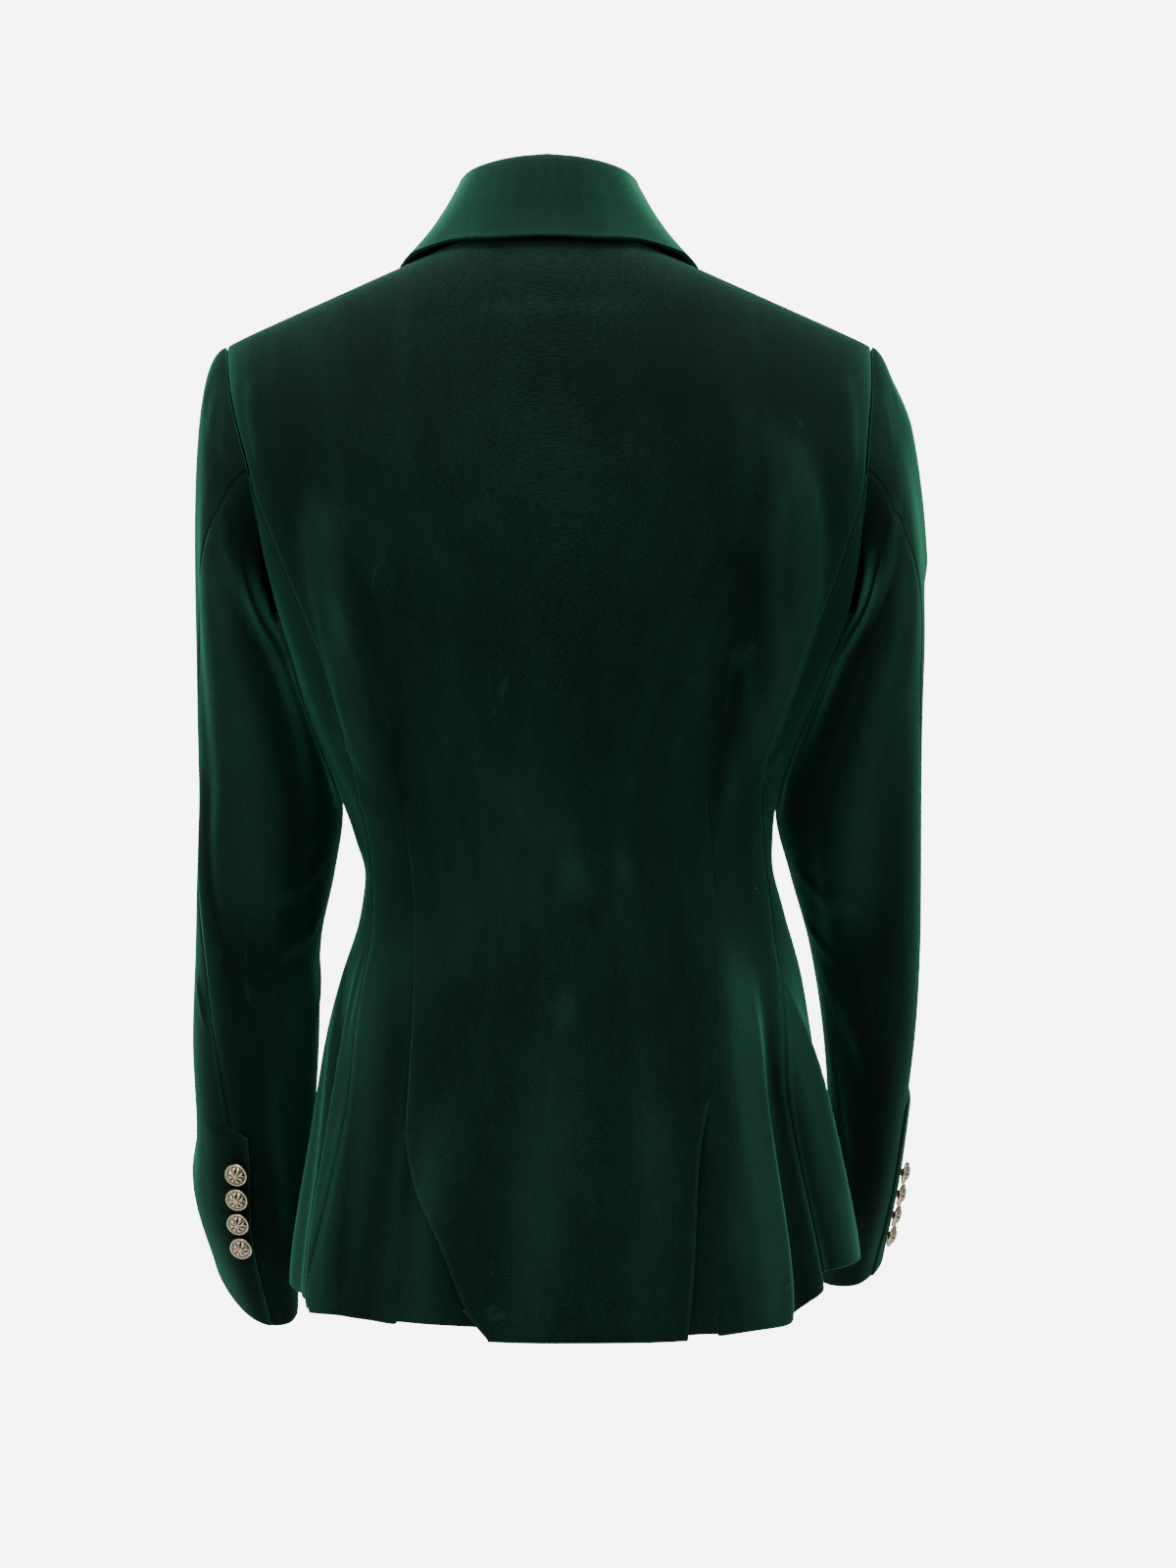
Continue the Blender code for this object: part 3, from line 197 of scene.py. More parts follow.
# Sleeves, by rings. Inner and outer are the ring's reach in X, back and front its reach in Y, and tilt
# is the angle by which the ring's front is higher than its back.
LEFT_RINGS = table(
    "height inner outer back front tilt yaw",
    (-0.64, 0.168, 0.208, -0.02, -0.116, 23, 27),
    (-0.585, 0.16, 0.222, -0.002, -0.102, 19, 20),
    (-0.53, 0.15, 0.22, 0.015, -0.088, 15, 12),
    (-0.48, 0.145, 0.22, 0.027, -0.08, 11, 6),
    (-0.42, 0.143, 0.2165, 0.037, -0.074, 7, 2),
    (-0.38, 0.135, 0.2145, 0.044, -0.07, 4, 0),
    (-0.335, 0.129, 0.2125, 0.05, -0.07, 2, 0),
    (-0.29, 0.14, 0.213, 0.057, -0.076, 0, 0),
    (-0.248, 0.156, 0.2135, 0.06, -0.084, 0, 0),
)
RIGHT_RINGS = table(
    "height inner outer back front tilt yaw",
    (-0.628, 0.178, 0.219, -0.088, -0.184, 24, 12),
    (-0.57, 0.181, 0.2235, -0.045, -0.146, 27, 8),
    (-0.515, 0.178, 0.226, -0.014, -0.118, 25, 4),
    (-0.465, 0.1715, 0.2275, 0.013, -0.094, 19, 0),
    (-0.42, 0.1625, 0.228, 0.031, -0.08, 12, 0),
    (-0.38, 0.151, 0.2275, 0.042, -0.074, 7, 0),
    (-0.335, 0.141, 0.227, 0.05, -0.072, 3, 0),
    (-0.29, 0.154, 0.227, 0.056, -0.076, 0, 0),
    (-0.248, 0.169, 0.228, 0.06, -0.084, 0, 0),
)
RINGS = {1: LEFT_RINGS, -1: RIGHT_RINGS}
SLEEVE_SQUARE = 2.3
CAP_BLEND = 0.1             # part of the length over which creases and folds come in
CAP_END = 0.30              # the part of a sleeve's length that its cap takes up
HEAD = {1: 0.024, -1: 0.017}               # how far the cap's top leads out before it turns down
UNDERARM_STEP = 0.0042      # how far out the sleeve starts under the arm
HEAD_PULL, HEAD_LEAST = 0.17, 0.001        # how far the cap goes on the way that it leaves the armhole
TUBE_PULL = 0.45            # and on the way that the tube comes up to it
BESIDE = 0.0060             # how near a sleeve comes to the side of the body that it hangs against
BESIDE_SOFT = 0.0015        # how softly it is kept there
BESIDE_TOP, BESIDE_TOP_FADE = -0.205, 0.02 # between which heights, and how that fades
BESIDE_BOTTOM, BESIDE_BOTTOM_FADE = -0.370, 0.03
LEFT_SLEEVE_SEAMS = table(
    "along hindarm forearm",
    (0, 70, -110), (0.2, 52, -110), (0.3, 34, -114), (0.41, 16, -128),
    (0.53, 22, -142), (0.61, 43, -150), (0.71, 60, -150), (0.8, 65, -148),
    (0.9, 63, -146), (1, 60, -145),
)
RIGHT_SLEEVE_SEAMS = table(
    "along hindarm forearm",
    (0, 70, -110), (0.2, 56, -110), (0.3, 42, -114), (0.45, 18, -132),
    (0.62, 8, -150), (0.8, 16, -150), (1, 26, -148),
)
LEFT_SLEEVE_FOLDS = table(
    "turn_a along_a turn_b along_b width rise",
    (72, 0.08, 100, 0.62, 22, 0.006),
    (118, 0.18, 150, 0.66, 20, -0.0045),
    (150, 0.5, 122, 0.94, 22, 0.005),
    (40, 0.08, 46, 0.5, 14, -0.003),
    (-40, 0.12, -20, 0.58, 15, 0.005),
    (-95, 0.3, -70, 0.78, 15, -0.005),
    (-30, 0.58, -14, 0.88, 14, -0.003),
    (-150, 0.45, -120, 0.8, 18, 0.004),
)
RIGHT_SLEEVE_FOLDS = table(
    "turn_a along_a turn_b along_b width rise",
    (12, 0.06, -4, 0.26, 20, 0.005),
    (50, 0.08, 108, 0.62, 22, 0.0065),
    (96, 0.16, 150, 0.66, 20, -0.0045),
    (150, 0.58, 124, 1.08, 20, 0.0055),
    (104, 0.62, 84, 1.08, 18, -0.0035),
    (-40, 0.15, -20, 0.6, 15, 0.005),
    (-95, 0.3, -70, 0.78, 15, -0.005),
    (-150, 0.45, -120, 0.8, 18, 0.004),
)
SLEEVE_SEAMS = {1: LEFT_SLEEVE_SEAMS, -1: RIGHT_SLEEVE_SEAMS}
SLEEVE_FOLDS = {1: LEFT_SLEEVE_FOLDS, -1: RIGHT_SLEEVE_FOLDS}
CUFF_VENT_ALONG = 0.785     # where the cuff's vent starts, as a part of the sleeve's length
CUFF_LAP_DEGREES = 15.0     # how far round the top sleeve laps over the under sleeve there
CUFF_LIFT = 0.0027
CUFF_CLEAR_DEGREES = 1.5    # how far the under sleeve keeps back from the seam there

# Collar: its seam along the neck, the roll at the top of its fold, and its edge as seen from above
COLLAR = table(
    "station seam_x seam_y roll_x roll_y roll_z edge_x edge_y bow",
    (0, 0, 0.056, 0, 0.059, 0.0465, 0, 0.068, 0),
    (0.2, 0.024, 0.0525, 0.019, 0.0555, 0.0455, 0.029, 0.0645, 0),
    (0.4, 0.046, 0.041, 0.037, 0.043, 0.044, 0.056, 0.05, -0.001),
    (0.55, 0.061, 0.023, 0.047, 0.024, 0.043, 0.074, 0.037, -0.002),
    (0.7, 0.069, 0.001, 0.051, 0, 0.04, 0.086, 0.006, -0.002),
    (0.85, 0.065, -0.025, 0.051, -0.027, 0.015, 0.093, -0.032, 0),
    (0.93, 0.0525, -0.0415, 0.05, -0.056, -0.008, 0.0945, -0.056, 0),
)
ROLL_RADIUS = 0.004
COLLAR_LIFT = 0.0022        # how far the collar's edge stands off the body
COLLAR_SEAM_LIFT = 0.0022   # its seam, above the body
COLLAR_INSET = 0.0026       # and inside the neck
COLLAR_CLEAR = 0.0050       # least distance of its fall from the body's inner face
COLLAR_TURNS = (180.0, 120.0, 60.0, 0.0)
FALL_PARTS = (0.33, 0.66, 1.0)             # places down the fall
COLLAR_END_STAND = table("in_neck down", (0.006, 0.0065), (0.0035, 0.003))
COLLAR_END_RADIUS = 0.0012  # the roll where the collar meets the lapel
COLLAR_END_IN = 0.001       # from the roll line to the middle of that roll
COLLAR_FRONT = table(
    "across above lift",
    (0.016, 0, 0.0072), (0.036, 0, 0.0058), (0.052, 0.02, 0.005),
)

# Lapel: how far its edge lies out from the roll line, and the slope of its top
LAPEL = table("part width", (0, 0.004), (0.25, 0.03), (0.55, 0.053), (0.85, 0.074), (1, 0.08))
LAPEL_TOP_DROP = 0.022
LAPEL_LIFT = 0.0022         # between the front and the lapel that lies on it
LAPEL_BOW = 0.0006
GORGE_GAP = 0.0017          # from the gorge down to the lapel's top edge

# Buttons
CUFF_BUTTON_RADIUS = 0.0072
CUFF_BUTTON_PITCH = 0.0150
CUFF_BUTTONS = 4
BUTTON_START = {1: 0.831, -1: 0.872}       # place of the first button, as a part of the sleeve's length
SLEEVE_LENGTH = 0.56
BUTTON_TURN = 5.0           # how far round from the hindarm seam the buttons stand
FRONT_BUTTON_RADIUS = 0.0110
FRONT_BUTTON_HEIGHT = -0.352
BODY_RADIUS = 0.115         # turns a distance round the back into an angle

# ---------------------------------------------------------------- what the cloth adds to the solids

TURN_UP = 0.022             # how far the hems are turned up inside
TURN_RADIUS = 0.0004
SEAM_DIP = 0.0009           # how far the cloth rolls in at a seam
SEAM_DIP_WIDTH = 0.0026
DART_TOP, DART_TOP_FADE = -0.305, 0.06     # where a dart's groove starts, and how slowly
DART_END_FADE = 0.004
DART_DIP = 0.0011
DART_WIDTH = 0.0014
FLAP_STAND = 0.0016         # how far the flap stands off the body's form
FLAP_RAMPS = (0.018, 0.090)                # how far below the vent's top it does, at its edge and inside
FLAP_RAMP_SPREAD = 2.2      # and how soon, across the flap, the one passes into the other
UNDERLAP_DIP = 0.0024       # and how far the piece under it lies in
UNDERLAP_RAMP = 0.004
BODY_ROUND = math.radians(BODY_RADIUS)     # metres to a degree round the body
SLEEVE_ROUND = math.radians(0.052)         # and round a sleeve
SLEEVE_WEAVE, LAPEL_WEAVE, COLLAR_WEAVE = 3, 0.4, 5.0   # keep the pile's pattern apart on these pieces

# How light the pile is drawn (its nap and painted light): painted highlights where the cloth rises and
# painted shade where it sinks, soft areas of painted shade and light, and painted highlights in lines
# along the edges
PAINTED_LIGHT_RISE = 0.0032           # rise at which it is lightest
PAINTED_LIGHT_GAIN = 0.8
DRAPE_PAINTED_LIGHT = 0.5             # how much the rise of the drapes counts
# bands of painted shade below the collar and painted light round the waist
BODY_PAINTED_LIGHT_BANDS = table("height deep nap", (-0.08, 0.07, -0.3), (-0.33, 0.05, 0.16))
# painted highlight on the skirt beside the flap and painted shade on the flap, below the waist
SKIRT_TOP, SKIRT_BLEND = -0.38, 0.08
FLAP_HALF_ANGLE, FLAP_BLEND = 26.0, 14.0
FLAP_SHADE, SKIRT_SHADE = -0.12, 0.24
# painted shade on the sleeves: all over, inside the upper arm, on the outside of the arm below its cap,
# and towards the cuff
SLEEVE_PAINTED_SHADE = -0.15
SLEEVE_PAINTED_SHADE_BANDS = table(
    "turn spread start run nap",
    (130, 48, 0.7, -0.25, -0.45),
    (10, 45, 0.12, 0.15, -0.12),
)
CUFF_SHADE, CUFF_SHADE_FROM, CUFF_SHADE_RUN = -0.15, 0.78, 0.12
# painted highlight in a line beside each seam, and painted shade down in it
SEAM_PAINTED_HIGHLIGHT, SEAM_LINE_AT, SEAM_LINE_WIDTH = 0.55, 0.0030, 0.0014
SEAM_SHADE, SEAM_SHADE_WIDTH = 0.9, 0.0012
# painted highlights along edges: round the hems, down the flap's edges, along the cuff's lap and along
# the edges of the lapel and the collar, which are drawn a little lighter all over too
HEM_PAINTED_HIGHLIGHT = 0.3
FLAP_EDGE_PAINTED_HIGHLIGHT, FLAP_LINE_WIDTH = 0.5, 0.0022
CUFF_EDGE_PAINTED_HIGHLIGHT, CUFF_LINE_WIDTH = 0.45, 0.002
LAPEL_LIGHTER, LAPEL_EDGE_PAINTED_HIGHLIGHT, LAPEL_LINE_WIDTH = 0.15, 0.5, 0.0025
COLLAR_LIGHTER, COLLAR_EDGE_PAINTED_HIGHLIGHT, COLLAR_LINE_WIDTH = 0.1, 0.35, 0.004

# Creases and soft ridges of the body: places (angle, height) along each, how wide it is on its two sides,
# and how far it rises
BODY_CREASES = (
    # right of the skirt, at the back: a rounded ridge, the groove beside it and the flare beyond
    (((-42, -0.4), (-41, -0.47), (-40.5, -0.53), (-42, -0.6), (-43, -0.68)), 0.006, 0.01, 0.0042),
    (((-46.5, -0.44), (-46, -0.51), (-46.5, -0.57), (-47.5, -0.68)), 0.0042, 0.006, -0.004),
    (((-56, -0.41), (-63, -0.47), (-71, -0.525), (-82, -0.61), (-86, -0.69)), 0.011, 0.005, 0.0042),
    (((-56, -0.47), (-60, -0.54), (-64, -0.62), (-66, -0.69)), 0.01, 0.007, -0.003),
    # left of the skirt: a sharp fold beside the seam, a hollow behind it, a soft roll at the side
    (((66.5, -0.4), (65.5, -0.45), (63, -0.5), (61, -0.56), (59, -0.68)), 0.0065, 0.004, 0.0038),
    (((58.5, -0.43), (57, -0.49), (54.5, -0.55), (52.5, -0.68)), 0.006, 0.007, -0.0026),
    (((84, -0.41), (80, -0.46), (76, -0.52), (74, -0.6), (75, -0.69)), 0.0075, 0.005, 0.0034),
    (((72, -0.45), (69, -0.52), (66.5, -0.62), (66, -0.69)), 0.005, 0.006, -0.0026),
    # drags above the waist, from the shoulder blades down into the side seams
    (((36, -0.15), (41, -0.195), (46, -0.235), (52, -0.275)), 0.004, 0.006, 0.0013),
    (((28, -0.18), (32, -0.225), (37, -0.268), (43.5, -0.31)), 0.0045, 0.006, 0.001),
    (((-31, -0.11), (-35, -0.16), (-40, -0.21), (-50, -0.255), (-60, -0.29)), 0.006, 0.0036, 0.0016),
    (((-30, -0.195), (-36, -0.24), (-45, -0.275), (-58, -0.305)), 0.0055, 0.004, 0.0011),
    (((-22, -0.215), (-26, -0.262), (-31, -0.3)), 0.006, 0.005, 0.0007),
    (((17, -0.23), (20, -0.275), (25, -0.318)), 0.005, 0.0065, 0.0007),
    # short drags round the waist
    (((66, -0.292), (58, -0.304), (50, -0.322)), 0.003, 0.0045, 0.0012),
    (((74, -0.33), (62, -0.338), (52, -0.349)), 0.0035, 0.0045, 0.001),
    (((-72, -0.3), (-64, -0.316), (-56, -0.335)), 0.0045, 0.003, 0.0011),
    (((-76, -0.345), (-66, -0.352), (-57, -0.366)), 0.0042, 0.0034, 0.0009),
    (((-6, -0.345), (3, -0.352), (13, -0.349)), 0.005, 0.007, 0.0006),
    # long soft runs down the flap and its neighbours
    (((6, -0.44), (4.5, -0.52), (6.5, -0.6), (5.5, -0.69)), 0.012, 0.009, 0.0013),
    (((-14, -0.46), (-15.5, -0.54), (-13.5, -0.62), (-14, -0.69)), 0.008, 0.011, 0.0012),
    (((26, -0.48), (28.5, -0.56), (29.5, -0.64), (30, -0.69)), 0.008, 0.01, 0.0014),
    # below the collar and along the armholes
    (((-12, -0.052), (-3, -0.049), (8, -0.053)), 0.005, 0.008, 0.0007),
    (((58, -0.075), (60, -0.11), (58, -0.145)), 0.006, 0.0045, 0.0011),
    (((-56, -0.07), (-59, -0.11), (-57, -0.15)), 0.0045, 0.006, 0.0012),
    # fronts: drags from the button, a fold from each chest, the flare of the skirt
    (((-176, -0.352), (-160, -0.336), (-143, -0.312)), 0.0045, 0.006, 0.0017),
    (((-174, -0.362), (-157, -0.366), (-140, -0.36)), 0.005, 0.005, 0.0013),
    (((-176, -0.372), (-161, -0.39), (-146, -0.416)), 0.006, 0.0045, 0.0015),
    (((168, -0.345), (154, -0.326), (140, -0.3)), 0.006, 0.0045, 0.0016),
    (((168, -0.366), (154, -0.38), (139, -0.402)), 0.0045, 0.006, 0.0014),
    (((128, -0.15), (133, -0.205), (140, -0.26)), 0.007, 0.01, 0.0018),
    (((-126, -0.14), (-131, -0.2), (-137, -0.262)), 0.01, 0.007, 0.0019),
    (((112, -0.4), (116, -0.48), (122, -0.57), (126, -0.69)), 0.011, 0.008, 0.004),
    (((-110, -0.41), (-115, -0.49), (-119, -0.58), (-121, -0.69)), 0.008, 0.012, 0.0042),
    (((146, -0.43), (150, -0.51), (153, -0.59), (156, -0.69)), 0.012, 0.009, 0.0024),
    (((-148, -0.44), (-151, -0.52), (-156, -0.6), (-158, -0.69)), 0.009, 0.012, 0.0026),
)
# The same on the sleeves: places (turn, along)
LEFT_CREASES = (
    # the head of the sleeve, gathered a little under the shoulder
    (((8, 0.02), (16, 0.05), (26, 0.095)), 0.0026, 0.0036, 0.0013),
    (((24, 0.015), (33, 0.042), (45, 0.08)), 0.003, 0.0024, 0.0012),
    (((40, 0.015), (50, 0.04), (62, 0.07)), 0.0026, 0.0034, 0.001),
    (((-20, 0.02), (-26, 0.06), (-34, 0.11)), 0.0036, 0.0028, 0.0012),
    (((-48, 0.02), (-56, 0.06), (-60, 0.12)), 0.003, 0.004, 0.0012),
    # the hollow down the inside of the arm and the soft edge beside it
    (((52, 0.1), (92, 0.17), (118, 0.26), (126, 0.36), (118, 0.47)), 0.008, 0.005, 0.0026),
    (((74, 0.08), (110, 0.16), (140, 0.26), (146, 0.37), (136, 0.48)), 0.006, 0.009, -0.003),
    # the hindarm seam stands up as a ridge to the buttons
    (((18, 0.38), (30, 0.5), (46, 0.585), (56, 0.65), (63, 0.73), (66, 0.8)), 0.0042, 0.0065, 0.002),
    (((34, 0.4), (50, 0.52), (72, 0.61), (84, 0.7)), 0.006, 0.008, -0.0016),
    # elbow
    (((172, 0.56), (150, 0.59), (126, 0.606), (104, 0.618)), 0.0045, 0.0032, 0.002),
    (((168, 0.5), (142, 0.53), (112, 0.552), (88, 0.56)), 0.005, 0.0038, 0.0017),
    (((24, 0.63), (36, 0.662), (46, 0.69)), 0.0024, 0.0034, 0.0014),
    (((184, 0.62), (166, 0.66), (140, 0.69)), 0.0042, 0.0034, 0.0015),
    (((232, 0.52), (206, 0.545), (182, 0.575)), 0.0042, 0.0036, 0.0017),
    (((-70, 0.48), (-96, 0.52), (-120, 0.535)), 0.0045, 0.0036, 0.0015),
    # forearm and cuff
    (((110, 0.7), (104, 0.78), (110, 0.86), (118, 0.96)), 0.006, 0.0045, 0.0016),
    (((-40, 0.25), (-46, 0.36), (-40, 0.46)), 0.008, 0.006, 0.0014),
    (((-62, 0.64), (-58, 0.76), (-66, 0.9)), 0.006, 0.008, 0.0014),
)
RIGHT_CREASES = (
    # head
    (((6, 0.02), (14, 0.055), (22, 0.1)), 0.0034, 0.0026, 0.0012),
    (((30, 0.018), (40, 0.05), (50, 0.085)), 0.0026, 0.0034, 0.0011),
    (((-24, 0.02), (-30, 0.06), (-36, 0.1)), 0.0028, 0.0036, 0.0012),
    (((-52, 0.02), (-58, 0.06), (-66, 0.12)), 0.0034, 0.0028, 0.0012),
    # the long bright ridge down the back of the arm with its groove inside
    (((40, 0.09), (74, 0.14), (100, 0.2), (120, 0.29), (128, 0.37), (132, 0.47)), 0.005, 0.007, 0.003),
    (((64, 0.09), (98, 0.13), (124, 0.2), (144, 0.3), (152, 0.39), (156, 0.47)), 0.007, 0.006, -0.0034),
    # elbow
    (((166, 0.52), (140, 0.545), (112, 0.56), (84, 0.56)), 0.0036, 0.0048, 0.0018),
    (((176, 0.58), (150, 0.605), (122, 0.615)), 0.0034, 0.0042, 0.0016),
    (((228, 0.54), (204, 0.57), (180, 0.59)), 0.0042, 0.0036, 0.0017),
    (((-74, 0.5), (-98, 0.53), (-122, 0.545)), 0.0036, 0.0045, 0.0015),
    # inside of the forearm, folded on itself towards the cuff
    (((152, 0.62), (136, 0.66), (116, 0.705), (97, 0.75)), 0.004, 0.003, 0.002),
    (((146, 0.69), (134, 0.75), (120, 0.81), (108, 0.87)), 0.0036, 0.0048, 0.0024),
    (((160, 0.73), (146, 0.8), (126, 0.86), (112, 0.93)), 0.0045, 0.0045, -0.0022),
    (((98, 0.86), (90, 0.9), (88, 0.94)), 0.003, 0.004, 0.0012),
    (((-44, 0.26), (-38, 0.37), (-46, 0.48)), 0.006, 0.008, 0.0014),
    (((-60, 0.66), (-66, 0.78), (-58, 0.9)), 0.008, 0.006, 0.0014),
)
SLEEVE_CREASES = {1: LEFT_CREASES, -1: RIGHT_CREASES}

# Places where the pile of the body is crushed and looks lighter or darker: angle, height, size, nap
CRUSHED = table(
    "angle height wide long nap",
    (-1, -0.374, 0.005, 0.011, 0.55),
    (-13, -0.371, 0.004, 0.009, 0.45),
    (1.5, -0.455, 0.0045, 0.012, 0.5),
    (-4, -0.4, 0.004, 0.008, -0.4),
    (-26, -0.3, 0.004, 0.015, 0.3),
    (9, -0.33, 0.006, 0.016, 0.22),
    (-58, -0.245, 0.0035, 0.03, 0.55),
    (44, -0.235, 0.0035, 0.028, 0.35),
    (-48, -0.33, 0.006, 0.02, 0.35),
    (30, -0.56, 0.005, 0.024, 0.25),
    (-33, -0.58, 0.005, 0.02, 0.3),
    (160, -0.25, 0.006, 0.016, 0.3),
    (-150, -0.48, 0.006, 0.02, 0.3),
)


# ---------------------------------------------------------------- reading the tables

def read(rows, column, at):
    """A column's value between its rows, on a smooth curve over the first column."""
    keys = np.array(next(iter(rows.values())), float)
    values = np.array(rows[column], float)
    at = np.clip(np.asarray(at, float), keys[0], keys[-1])
    place = np.clip(np.searchsorted(keys, at, side="right") - 1, 0, len(keys) - 2)
    low = np.maximum(place - 1, 0)
    high = np.minimum(place + 2, len(keys) - 1)
    span = keys[place + 1] - keys[place]
    part = (at - keys[place]) / span
    wide_a = span / (keys[place + 1] - keys[low])
    wide_b = span / (keys[high] - keys[place])
    if values.ndim > 1:
        part, wide_a, wide_b = part[..., None], wide_a[..., None], wide_b[..., None]
    slope_a = (values[place + 1] - values[low]) * wide_a
    slope_b = (values[high] - values[place]) * wide_b
    a = 2 * part ** 3 - 3 * part ** 2 + 1
    b = part ** 3 - 2 * part ** 2 + part
    c = part ** 3 - part ** 2
    return a * values[place] + b * slope_a + (1 - a) * values[place + 1] + c * slope_b


def mix(a, b, part):
    return a + (b - a) * part


def smooth(part):
    """0 to 1 with level ends."""
    part = np.clip(part, 0.0, 1.0)
    return part * part * (3 - 2 * part)


def rounded(value, square):
    """A sine or cosine bent so that a circle becomes a squarer oval."""
    return np.sign(value) * np.abs(value) ** (2 / square)


def unit(arrows):
    return arrows / np.maximum(np.linalg.norm(arrows, axis=-1, keepdims=True), 1e-12)


def place_of(x, y, z):
    return np.stack(np.broadcast_arrays(x, y, z), axis=-1).astype(float)


def sine(degrees):
    return np.sin(np.radians(degrees))


def cosine(degrees):
    return np.cos(np.radians(degrees))


# ---------------------------------------------------------------- creases, darts and crushed pile

PATH_STEPS = 6              # short straight steps between two places of a crease
CREASE_REACH = 3            # how many of its widths a crease is followed out to


def crushed_at(angle, height):
    """How much lighter or darker the pile looks where it was crushed."""
    total = 0.0
    for at, level, wide, long, nap in zip(*CRUSHED.values()):
        away = np.hypot((angle - at) * BODY_ROUND / wide, (height - level) / long)
        total = total + nap * np.exp(-away ** 2)
    return total


def path_of(places, scale):
    """Close places along a smooth line through a few."""
    rows = {"step": list(range(len(places))), "place": [list(place) for place in places]}
    steps = np.linspace(0, len(places) - 1, PATH_STEPS * (len(places) - 1) + 1)
    return read(rows, "place", steps) * scale


def crease_rise(creases, around, along, scale):
    """How far creases push the cloth out, each fading at its ends."""
    around, along = np.broadcast_arrays(around * scale[0], along * scale[1])
    total = np.zeros(around.shape)
    for places, wide_a, wide_b, rise in creases:
        path = path_of(places, scale)
        reach = CREASE_REACH * max(wide_a, wide_b)
        near = ((around > path[:, 0].min() - reach) & (around < path[:, 0].max() + reach)
                & (along > path[:, 1].min() - reach) & (along < path[:, 1].max() + reach))
        if not near.any():
            continue
        u, v = around[near], along[near]
        steps = np.diff(path, axis=0)
        lengths = np.linalg.norm(steps, axis=1)
        before = np.concatenate([[0], np.cumsum(lengths)])
        least = np.full(u.shape, np.inf)
        hand, run = np.zeros(u.shape), np.zeros(u.shape)
        for start, step, length, gone in zip(path, steps, lengths, before):
            du, dv = u - start[0], v - start[1]
            part = np.clip((du * step[0] + dv * step[1]) / length ** 2, 0, 1)
            away = np.hypot(du - part * step[0], dv - part * step[1])
            closer = away < least
            least = np.where(closer, away, least)
            hand = np.where(closer, step[0] * dv - step[1] * du, hand)
            run = np.where(closer, (gone + part * length) / before[-1], run)
        width = np.where(hand > 0, wide_a, wide_b)
        fade = smooth(run * FADE_IN) * smooth((1 - run) * FADE_IN)
        total[near] += rise * fade * np.exp(-(least / width) ** 2)
    return total


def dart_dip(angle, climb):
    """The groove of the two darts, from the waist down to the vents."""
    total = 0.0
    height = height_at(angle, climb)
    for side in (1, -1):
        away = (angle - dart_angle(side, climb)) * BODY_ROUND
        bottom = VENT_TOP[side]
        fade = smooth((DART_TOP - height) / DART_TOP_FADE) * smooth((height - bottom) / DART_END_FADE)
        total = total - DART_DIP * fade * np.exp(-(away / DART_WIDTH) ** 2)
    return total


def body_rise(angle, climb):
    """How far the creases push the body's cloth out, less the grooves of the darts."""
    height = height_at(angle, climb)
    return crease_rise(BODY_CREASES, angle, height, (BODY_ROUND, 1.0)) + dart_dip(angle, climb)


def sleeve_rise(side, turn, along):
    """How far a sleeve's creases push its cloth out."""
    turn = (turn + 180) % 360 - 180
    return crease_rise(SLEEVE_CREASES[side], turn, along, (SLEEVE_ROUND, SLEEVE_LENGTH))


# ---------------------------------------------------------------- the form of the body

HALVINGS = 40               # steps of each search by halves
STEP_ROUND, STEP_UP = 0.4, 0.004           # degrees and climb over which the form's slope is taken
LOWEST_CLIMB = -1.05
NEARBY = 0.01               # to a place that gives a direction
FADE_IN, FADE_OUT = 3, 6    # how quickly drapes and creases fade at their ends
SIDE_SEAM_NEAR, DART_NEAR = 70.0, 30.0     # angles that these lines stay close to
SIDE_SEAM_BEND = 0.4        # part of its height at which the side seam turns to the armhole
FRONT_EDGE_RANGE = (90.0, 200.0)           # angles between which the front edge is looked for
SHOULDER_RANGE = (0.3, 1.0)                # climbs between which a place under the collar is
ROUNDS = 4                  # of finding an angle by its height and the height by its angle


def shoulder_reach(angle):
    """How far to the side an angle lies at the level of the shoulders."""
    return SHOULDER_HALF * np.abs(rounded(sine(angle), TOP_SQUARE))


def crown(angle):
    """Height of the shoulders, carried on smoothly over the place of the neck."""
    reach = shoulder_reach(angle)
    slope = (SHOULDER_TIP_Z - SHOULDER_NECK_Z) / (SHOULDER_HALF - NECK_HALF)
    part = np.minimum(reach / NECK_HALF, 1.0)
    middle = (mix(CROWN_Z, SHOULDER_NECK_Z, smooth(part))
              + slope * NECK_HALF * (part ** 3 - part ** 2))
    return np.where(reach >= NECK_HALF, SHOULDER_NECK_Z + slope * (reach - NECK_HALF), middle)


def top_of(angle):
    """Height of the shoulder seam or the neck's edge at an angle."""
    part = np.minimum(shoulder_reach(angle) / NECK_HALF, 1.0)
    behind = cosine(angle) > 0
    drop = np.where(behind, BACK_NECK_DROP, FRONT_NECK_DROP)
    shape = np.where(behind, BACK_NECK_SHAPE, FRONT_NECK_SHAPE)
    return crown(angle) - drop * (1 - part ** 2) ** shape


def height_at(angle, climb):
    """Height of a climb, up to the shoulder or the neck's edge at that angle."""
    below = UNDERARM + climb * (UNDERARM - HEM)
    return np.where(climb <= 0, below, mix(UNDERARM, top_of(angle), climb))


def climb_at(angle, height):
    """Climb of a height, the other way round."""
    below = (height - UNDERARM) / (UNDERARM - HEM)
    return np.where(height <= UNDERARM, below, (height - UNDERARM) / (top_of(angle) - UNDERARM))


def angle_at(reach, height, behind):
    """Angle of a place that is this far to the side of the centre line, on the back or the front."""
    part = np.minimum(np.abs(reach) / read(BODY, "half_width", height), 1.0)
    angle = np.degrees(np.arcsin(part ** (read(BODY, "square", height) / 2)))
    angle = np.copysign(angle, reach)
    return np.where(behind, angle, 180 - angle)


